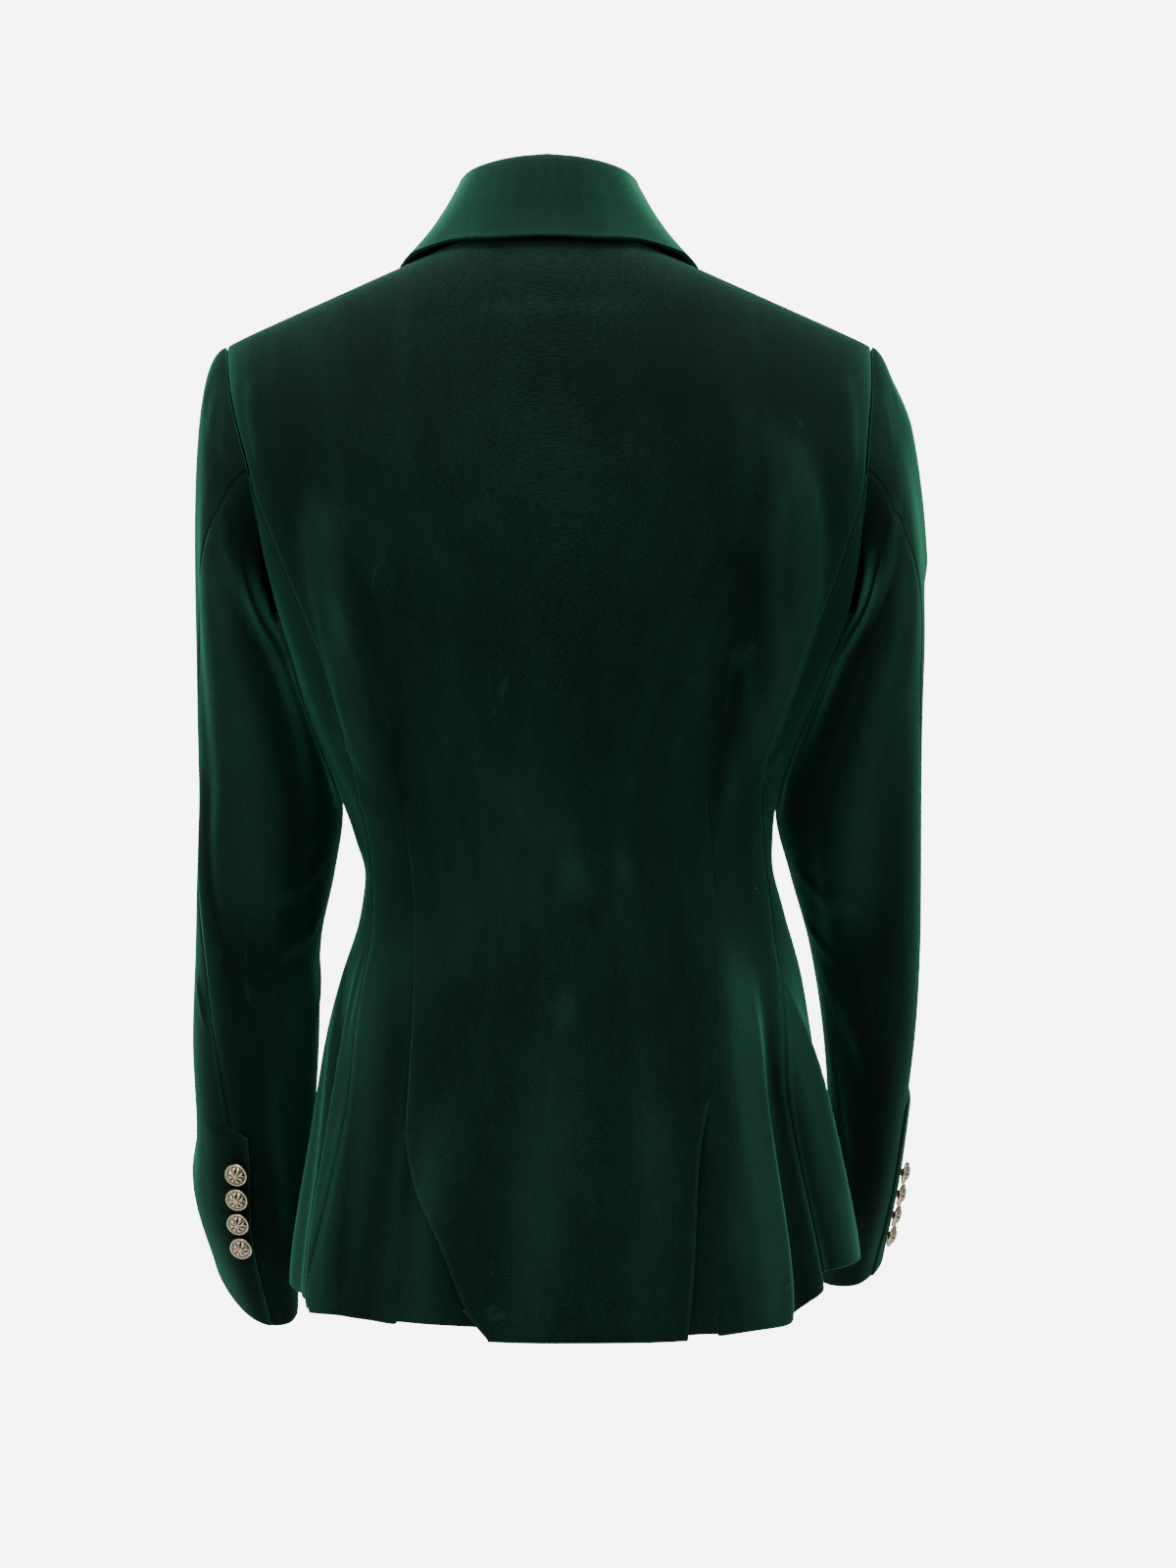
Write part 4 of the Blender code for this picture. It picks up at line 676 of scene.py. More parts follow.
def drape(folds, around, along):
    """How far the drapes push the cloth out at a place."""
    total = np.zeros(np.broadcast(around, along).shape)
    for around_a, along_a, around_b, along_b, width, rise in zip(*folds.values()):
        part = (along - along_a) / (along_b - along_a)
        away = (around - mix(around_a, around_b, part) + 180) % 360 - 180
        fade = smooth(part * FADE_IN) * smooth((1 - part) * FADE_OUT)
        total += rise * fade * np.exp(-(away / width) ** 2)
    return total


def plain(angle, climb):
    """A place on the form without its drapes."""
    height = height_at(angle, climb)
    square = read(BODY, "square", height)
    x = read(BODY, "half_width", height) * rounded(sine(angle), square)
    deep = np.where(cosine(angle) > 0, read(BODY, "back", height), read(BODY, "front", height))
    rise = np.where(climb > 0, np.clip((height - UNDERARM) / (crown(angle) - UNDERARM), 0, 1), 0)
    late = mix(NECK_ROUNDING, ROUNDING, smooth(shoulder_reach(angle) / SHOULDER_HALF))
    late = np.where(cosine(angle) > 0, late, ROUNDING)
    y = mix(SHOULDER_SEAM_Y, deep * rounded(cosine(angle), square), (1 - rise ** late) ** (1 / late))
    y = np.where(climb > 0, y, deep * rounded(cosine(angle), square))
    return place_of(x + read(BODY, "centre", height), y, height)


def normal_of(angle, climb):
    """Outward direction of the undraped form."""
    low, high = np.maximum(climb - STEP_UP, LOWEST_CLIMB), np.minimum(climb + STEP_UP, 1.0)
    around = plain(angle + STEP_ROUND, climb) - plain(angle - STEP_ROUND, climb)
    up = plain(angle, high) - plain(angle, low)
    return unit(np.cross(up, around))


def body(angle, climb, out=0.0):
    """A place on the draped form, moved out by a distance."""
    angle, climb = np.broadcast_arrays(np.asarray(angle, float), np.asarray(climb, float))
    out = out + drape(BODY_FOLDS, angle, climb) + body_rise(angle, climb)
    return plain(angle, climb) + normal_of(angle, climb) * out[..., None]


def side_seam_angle(side, climb):
    """Angle of the side seam, for side 1 on the left and -1 on the right."""
    height = height_at(side * SIDE_SEAM_NEAR, climb)
    angle = angle_at(side * read(SIDE_SEAM, "reach", height), height, True)
    top = read(ARMHOLE, "climb", SIDE_SEAM_TURN)
    meet = side * read(ARMHOLE, "angle", SIDE_SEAM_TURN)
    return mix(angle, meet, smooth((climb / top - SIDE_SEAM_BEND) / (1 - SIDE_SEAM_BEND)))


def dart_angle(side, climb):
    """Angle of a dart's line, which the flap's edge leaves at the vent's top."""
    height = height_at(side * DART_NEAR, climb)
    reach = read(DART, WORD[side], height)
    return angle_at(side * reach, height, True)


def armhole_turn(climb, low, high):
    """Turn between two turns at which the armhole reaches a climb."""
    climb = np.asarray(climb, float)
    rising = read(ARMHOLE, "climb", high) > read(ARMHOLE, "climb", low)
    low, high = np.full(climb.shape, float(low)), np.full(climb.shape, float(high))
    for _ in range(HALVINGS):
        middle = (low + high) / 2
        before = (read(ARMHOLE, "climb", middle) < climb) == rising
        low, high = np.where(before, middle, low), np.where(before, high, middle)
    return (low + high) / 2


def vent_top(side):
    return float(climb_at(0.0, VENT_TOP[side]))


def drawn_in(side, climb):
    """How far the flap's edge lies in from the dart line."""
    depth = (vent_top(side) - climb) * (UNDERARM - HEM)
    return read(FLAP[side], "drawn", depth)


def back_edge(side, climb):
    """Angle of the back's outer edge: the side seam, then the armhole."""
    turn = armhole_turn(climb, 0.0, SIDE_SEAM_TURN)
    on_seam = climb <= read(ARMHOLE, "climb", SIDE_SEAM_TURN)
    return np.where(on_seam, side_seam_angle(side, climb), side * read(ARMHOLE, "angle", turn))


def hung(side, part, climb):
    """A climb moved by the unevenness of the back's hem."""
    top = vent_top(side)
    lifted = read(BACK_HEM, WORD[side], part) / (UNDERARM - HEM)
    return climb + lifted * smooth((top - climb) / (top + 1.0))


def flap_out(part, climb):
    """How far the flap stands off: at once at its edges, slowly in the middle."""
    total = 0.0
    for top, away in ((vent_top(1), 1 - part), (vent_top(-1), part)):
        depth = (top - climb) * (UNDERARM - HEM)
        ramp = mix(*FLAP_RAMPS, smooth(away * FLAP_RAMP_SPREAD))
        total = np.maximum(total, smooth(depth / ramp) * FLAP_STAND)
    return total


def degrees_round(distance):
    """Angle that a distance round the back takes up."""
    return np.degrees(distance / BODY_RADIUS)


def front_edge_angle(side, climb):
    """Angle at which a row of the front meets the roll line or the front edge."""
    climb = np.asarray(climb, float)
    low, high = (np.full(climb.shape, angle) for angle in FRONT_EDGE_RANGE)
    for _ in range(HALVINGS):
        angle = (low + high) / 2
        place = plain(angle, climb)
        reach = place[..., 0] - read(BODY, "centre", place[..., 2])
        outside = reach > read(FRONT_EDGE, "reach", place[..., 2])
        low, high = np.where(outside, angle, low), np.where(outside, high, angle)
    return side * (low + high) / 2


def overlap_out(side, angle, climb):
    """How far the right front stands off, where it lies over the left one and the left lapel."""
    if side > 0:
        return 0.0 * angle
    rise = read(OVERLAP, "rise", height_at(angle, climb))
    return rise * smooth((np.abs(angle) - OVERLAP_ANGLE) / OVERLAP_RAMP)


def on_front(side, reach, height, out):
    """A place on a front, by its distance from the centre line."""
    angle = side * angle_at(reach, height, False)
    climb = climb_at(angle, height)
    return body(angle, climb, out + overlap_out(side, angle, climb))


def over(x, y):
    """Angle and climb of the place on the form above a point of the plan."""
    x, y = np.broadcast_arrays(np.asarray(x, float), np.asarray(y, float))
    behind = y > SHOULDER_SEAM_Y
    low, high = (np.full(x.shape, climb) for climb in SHOULDER_RANGE)
    for _ in range(HALVINGS):
        climb = (low + high) / 2
        angle = np.full(x.shape, 90.0)
        for _ in range(ROUNDS):
            angle = angle_at(x, height_at(angle, climb), behind)
        outside = np.abs(plain(angle, climb)[..., 1] - SHOULDER_SEAM_Y) > np.abs(y - SHOULDER_SEAM_Y)
        low, high = np.where(outside, climb, low), np.where(outside, high, climb)
    return angle, climb


def resting(x, y, out):
    """A place on the form above a point of the plan."""
    return body(*over(x, y), out)


def kept_clear(places, least):
    """Places moved out where they come closer to the form than the least distance."""
    angle, climb = over(places[..., 0], places[..., 1])
    facing = normal_of(angle, climb)
    away = np.sum((places - body(angle, climb)) * facing, axis=-1)
    return places + facing * np.maximum(least - away, 0.0)[..., None]


# ---------------------------------------------------------------- the form of the collar

def collar_section(station, side):
    """Places across the collar, from the neck seam over the roll to the edge, on the side that shows."""
    seam = resting(side * read(COLLAR, "seam_x", station), read(COLLAR, "seam_y", station),
                   CLOTH + COLLAR_SEAM_LIFT)
    roll = place_of(side * read(COLLAR, "roll_x", station), read(COLLAR, "roll_y", station),
                    read(COLLAR, "roll_z", station))
    edge = resting(side * read(COLLAR, "edge_x", station), read(COLLAR, "edge_y", station),
                   CLOTH + LAY + COLLAR_LIFT)
    away = unit((edge - seam) * (1, 1, 0))
    seam = seam - away * COLLAR_INSET
    places = [seam, mix(seam, roll - away * ROLL_RADIUS, 0.5)]
    for degrees in COLLAR_TURNS:
        rise = np.array((0, 0, sine(degrees) - 1))
        places.append(roll + (away * cosine(degrees) + rise) * ROLL_RADIUS)
    start = places[-1]
    for part in FALL_PARTS:
        bow = away * read(COLLAR, "bow", station) * math.sin(math.pi * part)
        places.append(mix(start, edge, part) + bow)
    return np.array(places)


def above_lapel(side, across, above, out):
    """A place on the front, just above the lapel's top edge."""
    reach = read(FRONT_EDGE, "reach", GORGE_HEIGHT) + across
    drop = LAPEL_TOP_DROP * across / LAPEL["width"][-1]
    return on_front(side, reach, GORGE_HEIGHT - GORGE_GAP / 2 - drop + above, out)


def collar_end(side):
    """The same places at the collar's front end, where it lies flat above the lapel."""
    under = CLOTH + LAPEL_LIFT + COLLAR_CLOTH
    centre = above_lapel(side, COLLAR_END_IN, 0.0, under + COLLAR_END_RADIUS)
    off = unit(above_lapel(side, COLLAR_END_IN, 0.0, under + NEARBY) - centre)
    away = unit(above_lapel(side, COLLAR_END_IN + NEARBY, 0.0, under + COLLAR_END_RADIUS) - centre)
    places = [centre - away * in_neck - off * down for in_neck, down in zip(*COLLAR_END_STAND.values())]
    for degrees in COLLAR_TURNS:
        places.append(centre + (off * cosine(degrees) - away * sine(degrees)) * COLLAR_END_RADIUS)
    for across, above, lift in zip(*COLLAR_FRONT.values()):
        places.append(above_lapel(side, across, above, lift))
    return np.array(places)


# ---------------------------------------------------------------- the form of the sleeves

ARMHOLE_STEP = 4            # degrees over which the armhole's direction is taken
LEAVE_AWAY, LEAVE_DOWN = 0.3, 0.1          # how a sleeve leaves the armhole on top, beside going sideways
LEAVE_SIDEWAYS = 0.5        # and under the arm, beside going down
LEAVE_LIFT = 0.3            # how soon the way that it leaves lifts it clear of the body's edge
UNDERARM_FROM, UNDERARM_RUN = 0.1, 0.6     # from which turn the step under the arm comes in


def armhole_start(side, turn):
    """Where a sleeve starts, just clear of the body's edge, and the way that it leaves."""
    def edge(at):
        return body(side * read(ARMHOLE, "angle", at), read(ARMHOLE, "climb", at))

    facing = normal_of(side * read(ARMHOLE, "angle", turn), read(ARMHOLE, "climb", turn))
    away = unit(np.cross(edge(turn + ARMHOLE_STEP) - edge(turn - ARMHOLE_STEP), facing)) * side
    low = smooth((-cosine(turn) - UNDERARM_FROM) / UNDERARM_RUN)[..., None]
    sideways, down = np.array((side, 0.0, 0.0)), np.array((0.0, 0.0, -1.0))
    top = (0.5 + 0.5 * cosine(turn))[..., None]
    on_top = away * LEAVE_AWAY + sideways + down * LEAVE_DOWN
    leave = unit(on_top * top + (sideways * LEAVE_SIDEWAYS + down) * (1 - top))
    lift = (CLOTH + SEAM_GAP) * smooth(np.sum(leave * facing, axis=-1) / LEAVE_LIFT)[..., None]
    return edge(turn) + away * SEAM_GAP + facing * lift + sideways * UNDERARM_STEP * low, leave


def ring_place(side, turn, height):
    """A place on the plain tube of a sleeve."""
    rings = RINGS[side]
    inner, outer = read(rings, "inner", height), read(rings, "outer", height)
    back, front = read(rings, "back", height), read(rings, "front", height)
    tilt, yaw = read(rings, "tilt", height), read(rings, "yaw", height)
    across = (outer - inner) / 2 * rounded(cosine(turn), SLEEVE_SQUARE)
    deep = (back - front) / 2 * rounded(sine(turn), SLEEVE_SQUARE)
    level = deep * cosine(tilt)
    return place_of(side * ((inner + outer) / 2 + across * cosine(yaw) - level * sine(yaw)),
                    (back + front) / 2 + level * cosine(yaw) + across * sine(yaw),
                    height - deep * sine(tilt))


def cap_place(side, turn, part):
    """A place on the sleeve's cap: part is 0 at the armhole and 1 at the first ring below it."""
    rings = RINGS[side]
    first = rings["height"][-1]
    start, leave = armhole_start(side, turn % 360)
    end = ring_place(side, turn, first)
    flow = unit(ring_place(side, turn, first - NEARBY) - end)
    reach = np.linalg.norm(end - start, axis=-1, keepdims=True)
    near = start + leave * np.minimum(HEAD_PULL * reach + HEAD_LEAST, HEAD[side])
    far = end - flow * reach * TUBE_PULL
    part = part[..., None]
    return (start * (1 - part) ** 3 + near * 3 * part * (1 - part) ** 2
            + far * 3 * part ** 2 * (1 - part) + end * part ** 3)


def beside_body(side, place):
    """Places of a sleeve, moved out where they would come too near to the side of the body."""
    x, y, z = side * place[..., 0], place[..., 1], place[..., 2]
    square = read(BODY, "square", z)
    deep = np.where(y > 0, read(BODY, "back", z), read(BODY, "front", z))
    part = np.minimum(np.abs(y) / deep, 1.0)
    angle = np.degrees(np.arccos(part ** (square / 2)))
    angle = side * np.where(y > 0, angle, 180 - angle)
    climb = (z - UNDERARM) / (UNDERARM - HEM)
    reach = read(BODY, "half_width", z) * (1 - part ** square) ** (1 / square)
    rise = drape(BODY_FOLDS, angle, climb) + crease_rise(BODY_CREASES, angle, z, (BODY_ROUND, 1.0))
    least = reach + side * read(BODY, "centre", z) + BESIDE + np.maximum(rise, 0.0)
    moved = least + BESIDE_SOFT * np.logaddexp(0, (x - least) / BESIDE_SOFT)
    kept = smooth((BESIDE_TOP - z) / BESIDE_TOP_FADE) * smooth((z - BESIDE_BOTTOM) / BESIDE_BOTTOM_FADE)
    return place_of(side * mix(x, moved, kept), y, z)


def sleeve(side, turn, along, out=0.0):
    """A place on a sleeve: along is 0 at the armhole and 1 at the cuff."""
    turn, along = np.broadcast_arrays(np.asarray(turn, float), np.asarray(along, float))
    rings = RINGS[side]
    first, cuff = rings["height"][-1], rings["height"][0]
    cap = cap_place(side, turn, np.clip(along / CAP_END, 0, 1))
    tube = ring_place(side, turn, mix(first, cuff, (along - CAP_END) / (1 - CAP_END)))
    place = np.where((along < CAP_END)[..., None], cap, tube)
    out = out + drape(SLEEVE_FOLDS[side], turn, along) + sleeve_rise(side, turn, along)
    height = np.minimum(place[..., 2], first)
    centre = (ring_place(side, 0.0, height) + ring_place(side, 180.0, height)) / 2
    away = unit((place - centre) * (1, 1, 0))
    return beside_body(side, place + away * (out * smooth(along / CAP_BLEND))[..., None])


def seam_turns(side, along):
    """Turns of a sleeve's two seams."""
    return read(SLEEVE_SEAMS[side], "hindarm", along), read(SLEEVE_SEAMS[side], "forearm", along)


# ---------------------------------------------------------------- making cloth

WELD = 0.00002              # places nearer to each other than this are one
SLIVER = 0.00001            # edges shorter than this are closed up
EDGE_ROUND = 0.42           # how round the cloth's edges are, as a part of its thickness
EDGE_ANGLE = 50             # degrees from which an edge is rounded
TURN_DEGREES = (45, 90, 135, 180)          # places round a hem's edge
TURN_UP_PARTS = (0.15, 0.5, 1.0)           # and up its inside
TURN_CLOTH = 0.002          # cloth that the pile's pattern goes on by round that edge
TURN_SPREAD = 60            # degrees of the turn in which it goes on by one radius


def hump(away, width):
    """1 in the middle, falling off softly over a width."""
    return np.exp(-(away / width) ** 2)


def parts_of(count, close=0.0, end="both"):
    """Parts from 0 to 1, closer together towards the start, the end or both."""
    even = np.linspace(0, 1, count + 1)
    if end == "both":
        return even - close * np.sin(2 * np.pi * even) / (2 * np.pi)
    nearer = close * np.sin(np.pi * even) / np.pi
    return even - nearer if end == "start" else even + nearer


def facing_of(places, inside):
    """Outward directions over a grid of places."""
    facing = unit(np.cross(np.gradient(places, axis=0), np.gradient(places, axis=1)))
    return facing if np.sum(facing * (places - inside)) > 0 else -facing


def run_from(places, edge):
    """Distance of each place from an edge of its grid, along its row or column."""
    axis = 1 if edge in ("left", "right") else 0
    steps = np.linalg.norm(np.diff(places, axis=axis), axis=-1)
    if edge in ("right", "top"):
        steps = np.flip(steps, axis=axis)
    zero = np.zeros_like(np.take(steps, [0], axis=axis))
    run = np.concatenate([zero, np.cumsum(steps, axis=axis)], axis=axis)
    return np.flip(run, axis=axis) if edge in ("right", "top") else run


def seamed(places, nap, inside, edges, dip=SEAM_DIP, line=SEAM_PAINTED_HIGHLIGHT):
    """Draws the cloth back by half a gap at its seams and rolls it in there."""
    facing = facing_of(places, inside)
    nap, moved = nap.copy(), places.copy()
    for edge in edges:
        run = run_from(places, edge)
        moved -= facing * (dip * (1 - smooth(run / SEAM_DIP_WIDTH)))[..., None]
        # painted highlight in a line beside the seam, painted shade down in it
        nap += line * hump(run - SEAM_LINE_AT, SEAM_LINE_WIDTH) - SEAM_SHADE * hump(run, SEAM_SHADE_WIDTH)
    for edge, last, beside in (("left", np.s_[:, 0], np.s_[:, 1]), ("right", np.s_[:, -1], np.s_[:, -2]),
                               ("top", np.s_[-1], np.s_[-2])):
        if edge in edges:
            moved[last] += unit(places[beside] - places[last]) * (SEAM_GAP / 2)
    return moved, nap


def turned_up(places, nap, weave, inside, keep=None):
    """Adds rows before the first one: the cloth goes round the hem's edge and up inside."""
    facing = facing_of(places, inside)[0]
    down = unit(places[0] - places[1])
    keep = np.ones(len(down)) if keep is None else keep
    added, nap_and_painted_light_rows, weaves = [], [], []
    along = np.array((0.0, 1.0, 0.0))
    for degrees in TURN_DEGREES:
        round_it = facing * (cosine(degrees) - 1) + down * sine(degrees)
        added.append(places[0] + round_it * (TURN_RADIUS * keep)[:, None])
        # painted highlight round the hem's edge
        nap_and_painted_light_rows.append(nap[0] + HEM_PAINTED_HIGHLIGHT)
        weaves.append(weave[0] - along * TURN_RADIUS * degrees / TURN_SPREAD)
    for part in TURN_UP_PARTS:
        inward = places[0] - facing * (2 * TURN_RADIUS * keep)[:, None]
        added.append(inward - down * (TURN_UP * part * keep)[:, None])
        nap_and_painted_light_rows.append(nap[0])
        weaves.append(weave[0] - along * (TURN_CLOTH + TURN_UP * part))
    return [np.concatenate([np.array(rows[::-1]), grid])
            for rows, grid in ((added, places), (nap_and_painted_light_rows, nap), (weaves, weave))]


def mesh_of(name, shape, *finishes):
    """The mesh of a shape, in its finishes."""
    mesh = bpy.data.meshes.new(name)
    shape.to_mesh(mesh)
    shape.free()
    mesh.shade_smooth()
    for finish in finishes:
        mesh.materials.append(finish)
    return mesh


def shown(name, data):
    """An object of the scene."""
    thing = bpy.data.objects.new(name, data)
    bpy.context.scene.collection.objects.link(thing)
    return thing


def cloth(name, grids, inside, outer, inner, thickness=CLOTH):
    """A wall of cloth on one or more grids of places, which are joined where they meet.

    The places are the wall's inner face. Each grid is its places, its nap and painted light (how light
    the
    pile is drawn: crushed pile, with painted highlights and painted shade) and its weave (metres round
    and along the cloth).
    """
    shape = bmesh.new()
    # how light the pile is drawn: crushed pile, with painted highlights and painted shade
    pile_tone_and_painted_light = shape.verts.layers.float.new("nap")
    run = shape.verts.layers.float_vector.new("weave")
    for places, nap, weave in grids:
        rows, columns = places.shape[:2]
        made = bmesh.ops.create_grid(shape, x_segments=columns - 1, y_segments=rows - 1, size=0.5)
        for vert in made["verts"]:
            spot = round((vert.co.y + 0.5) * (rows - 1)), round((vert.co.x + 0.5) * (columns - 1))
            vert.co = places[spot]
            vert[pile_tone_and_painted_light] = nap[spot]
            vert[run] = weave[spot]
    bmesh.ops.remove_doubles(shape, verts=shape.verts, dist=WELD)
    bmesh.ops.dissolve_degenerate(shape, edges=shape.edges, dist=SLIVER)
    bmesh.ops.recalc_face_normals(shape, faces=shape.faces)
    centre = Vector(inside)
    outward = sum(face.normal.dot(face.calc_center_median() - centre) * face.calc_area()
                  for face in shape.faces)
    if outward < 0:
        bmesh.ops.reverse_faces(shape, faces=shape.faces)
    piece = shown(name, mesh_of(name, shape, outer, inner))
    wall = piece.modifiers.new("wall", "SOLIDIFY")
    wall.thickness = thickness
    wall.offset = 1.0
    wall.use_even_offset = False
    wall.material_offset = 1
    wall.material_offset_rim = 0
    soft = piece.modifiers.new("soft edges", "BEVEL")
    soft.width = thickness * EDGE_ROUND
    soft.segments = 2
    soft.limit_method = "ANGLE"
    soft.angle_limit = math.radians(EDGE_ANGLE)
    soft.use_clamp_overlap = True
    return piece


def body_grid(angle, climb, out=0.0):
    """Places, nap and weave of a stretch of the body."""
    angle, climb = np.broadcast_arrays(np.asarray(angle, float), np.asarray(climb, float))
    height = height_at(angle, climb)
    # painted highlight where the cloth rises, painted shade where it sinks
    rise = DRAPE_PAINTED_LIGHT * drape(BODY_FOLDS, angle, climb) + body_rise(angle, climb)
    # bands of painted shade below the collar and painted light round the waist
    shade = sum(nap * hump(height - level, deep) for level, deep, nap in zip(*BODY_PAINTED_LIGHT_BANDS.values()))
    # painted highlight on the skirt beside the flap and painted shade on the flap, below the waist
    beside = smooth((np.abs(angle) - FLAP_HALF_ANGLE) / FLAP_BLEND)
    shade = shade + mix(FLAP_SHADE, SKIRT_SHADE, beside) * smooth((SKIRT_TOP - height) / SKIRT_BLEND)
    nap = np.clip(rise / PAINTED_LIGHT_RISE, -1, 1) * PAINTED_LIGHT_GAIN + shade + crushed_at(angle, height)
    return body(angle, climb, out), nap, place_of(angle * BODY_ROUND, height, 0.0)


def sleeve_grid(side, turn, along, out=0.0):
    """The same of a stretch of a sleeve."""
    turn, along = np.broadcast_arrays(np.asarray(turn, float), np.asarray(along, float))
    # painted highlight where the cloth rises, painted shade where it sinks
    rise = DRAPE_PAINTED_LIGHT * drape(SLEEVE_FOLDS[side], turn, along) + sleeve_rise(side, turn, along)
    # and painted shade over the whole sleeve
    nap = np.clip(rise / PAINTED_LIGHT_RISE, -1, 1) * PAINTED_LIGHT_GAIN + SLEEVE_PAINTED_SHADE
    # painted shade inside the upper arm and on the outside of the arm
    for middle, spread, start, run, darker in zip(*SLEEVE_PAINTED_SHADE_BANDS.values()):
        nap = nap + darker * hump(turn - middle, spread) * smooth((along - start) / run)
    # painted shade towards the cuff
    nap = nap + CUFF_SHADE * smooth((along - CUFF_SHADE_FROM) / CUFF_SHADE_RUN)
    weave = place_of(turn * SLEEVE_ROUND + side * SLEEVE_WEAVE, -along * SLEEVE_LENGTH, 0.0)
    return sleeve(side, turn, along, out), nap, weave


# ---------------------------------------------------------------- back

BODY_AXIS = (0.0, 0.0, -0.35)
CLOSER = 0.75               # how much closer the grid's lines stand at the edges of a piece
SEAM_CLOSER, EDGE_CLOSER = 0.7, 0.6        # and where they do so at one edge alone
FLAP_COLUMNS = 88           # across the middle of the back
BESIDE_COLUMNS = 46         # and from a dart to the side seam
LAP_COLUMNS = 15            # under the flap
KEEP_FROM, KEEP_RUN = 0.02, 0.03           # where the hem beside the flap starts to turn up, across
VENT_ROWS = 38              # from the hem to just below a vent's top
VENT_TOP_ROWS = 7           # there
WAIST_ROWS = 91             # from there to the underarm
ARMHOLE_ROWS = 23           # then to the top of the side seam
SHOULDER_ROWS = 53          # then to the shoulder


def vent_rows(side, hem):
    """Climbs below a vent's top, from the hem up, close together at the top."""
    top, low = vent_top(side), climb_at(0.0, hem)
    close = VENT_RAMP / (UNDERARM - HEM)
    return np.concatenate([np.linspace(low, top - close, VENT_ROWS),
                           np.linspace(top - close, top, VENT_TOP_ROWS)[1:]])


def rows_above(side):
    """Climbs from a vent's top up to the shoulder."""
    seam_top = read(ARMHOLE, "climb", SIDE_SEAM_TURN)
    rising = np.sin(np.linspace(math.asin(seam_top), math.pi / 2, SHOULDER_ROWS))
    return np.concatenate([np.linspace(vent_top(side), 0.0, WAIST_ROWS)[1:],
                           np.linspace(0.0, seam_top, ARMHOLE_ROWS)[1:], rising[1:]])


def rows_up(side, hem):
    """All the climbs of a part of the back, as a column."""
    return np.concatenate([vent_rows(side, hem), rows_above(side)])[:, None]


def make_middle():
    """The back between the darts, which ends in the flap over both vents."""
    part = parts_of(FLAP_COLUMNS, CLOSER)
    climb = mix(rows_up(-1, FLAP_HEM), rows_up(1, FLAP_HEM), part)
    from_right = dart_angle(-1, climb) + degrees_round(drawn_in(-1, climb))
    from_left = dart_angle(1, climb) - degrees_round(drawn_in(1, climb))
    places, nap, weave = body_grid(mix(from_right, from_left, part), climb, flap_out(part, climb))
    for edge, side in (("left", -1), ("right", 1)):
        # painted highlight down the flap's edges, below the vents' tops
        nap = nap + (climb < vent_top(side)) * FLAP_EDGE_PAINTED_HIGHLIGHT * hump(run_from(places, edge), FLAP_LINE_WIDTH)
    return turned_up(places, nap, weave, BODY_AXIS)


def make_beside(side):
    """The back from a dart to the side seam: below the vent's top with its underlap, and above it."""
    climbs = rows_up(side, HEM)
    part = parts_of(BESIDE_COLUMNS, CLOSER)
    depth = np.maximum(vent_top(side) - climbs, 0) * (UNDERARM - HEM)
    start = dart_angle(side, climbs) + side * degrees_round(VENT_NOTCH * smooth(depth / VENT_RAMP))
    edge = back_edge(side, hung(side, 1.0, climbs))
    angle, climb = mix(start, edge, part), hung(side, part, climbs)
    reach = drawn_in(side, climbs) + np.minimum(UNDERLAP, depth * UNDERLAP_SLOPE)
    inmost = dart_angle(side, climbs) - side * degrees_round(reach)
    lap = np.linspace(0, 1, LAP_COLUMNS)[:-1]
    low = len(vent_rows(side, HEM))
    under_angle = np.concatenate([mix(inmost, start, lap), angle], axis=1)[:low]
    under_climb = np.concatenate([hung(side, 0.0, climbs) + 0 * lap, climb], axis=1)[:low]
    sunk = np.concatenate([UNDERLAP_DIP * smooth((1 - lap) * reach / UNDERLAP_RAMP), 0 * angle], axis=1)
    keep = np.concatenate([0 * lap, smooth((part - KEEP_FROM) / KEEP_RUN)])
    places, nap, weave = body_grid(under_angle, under_climb, -sunk[:low])
    places, nap = seamed(places, nap, BODY_AXIS, ("right",))
    below = turned_up(places, nap, weave, BODY_AXIS, keep)
    places, nap, weave = body_grid(angle[low - 1:], climb[low - 1:])
    return [below, (*seamed(places, nap, BODY_AXIS, ("right", "top")), weave)]


def make_back(outer, inner):
    grids = [make_middle(), *make_beside(1), *make_beside(-1)]
    return cloth("back_cloth", grids, BODY_AXIS, outer, inner)


# ---------------------------------------------------------------- side panels and fronts

SIDE_COLUMNS, SIDE_ROWS = 60, 160
SIDE_BLEND_FROM = 0.7       # part of the height from which a side panel follows the armhole
SIDE_BLEND_EDGE = 0.11      # and how near to its seams it no longer does
FRONT_SEAM_ROWS, FRONT_ARMHOLE_ROWS = 150, 61
FRONT_COLUMNS, EDGE_COLUMNS = 60, 28       # to the neck's corner, and on to the front edge
KNEE_PART, KNEE_TURN = 8 / 11, 1.5         # where these meet low down, and how soon they do


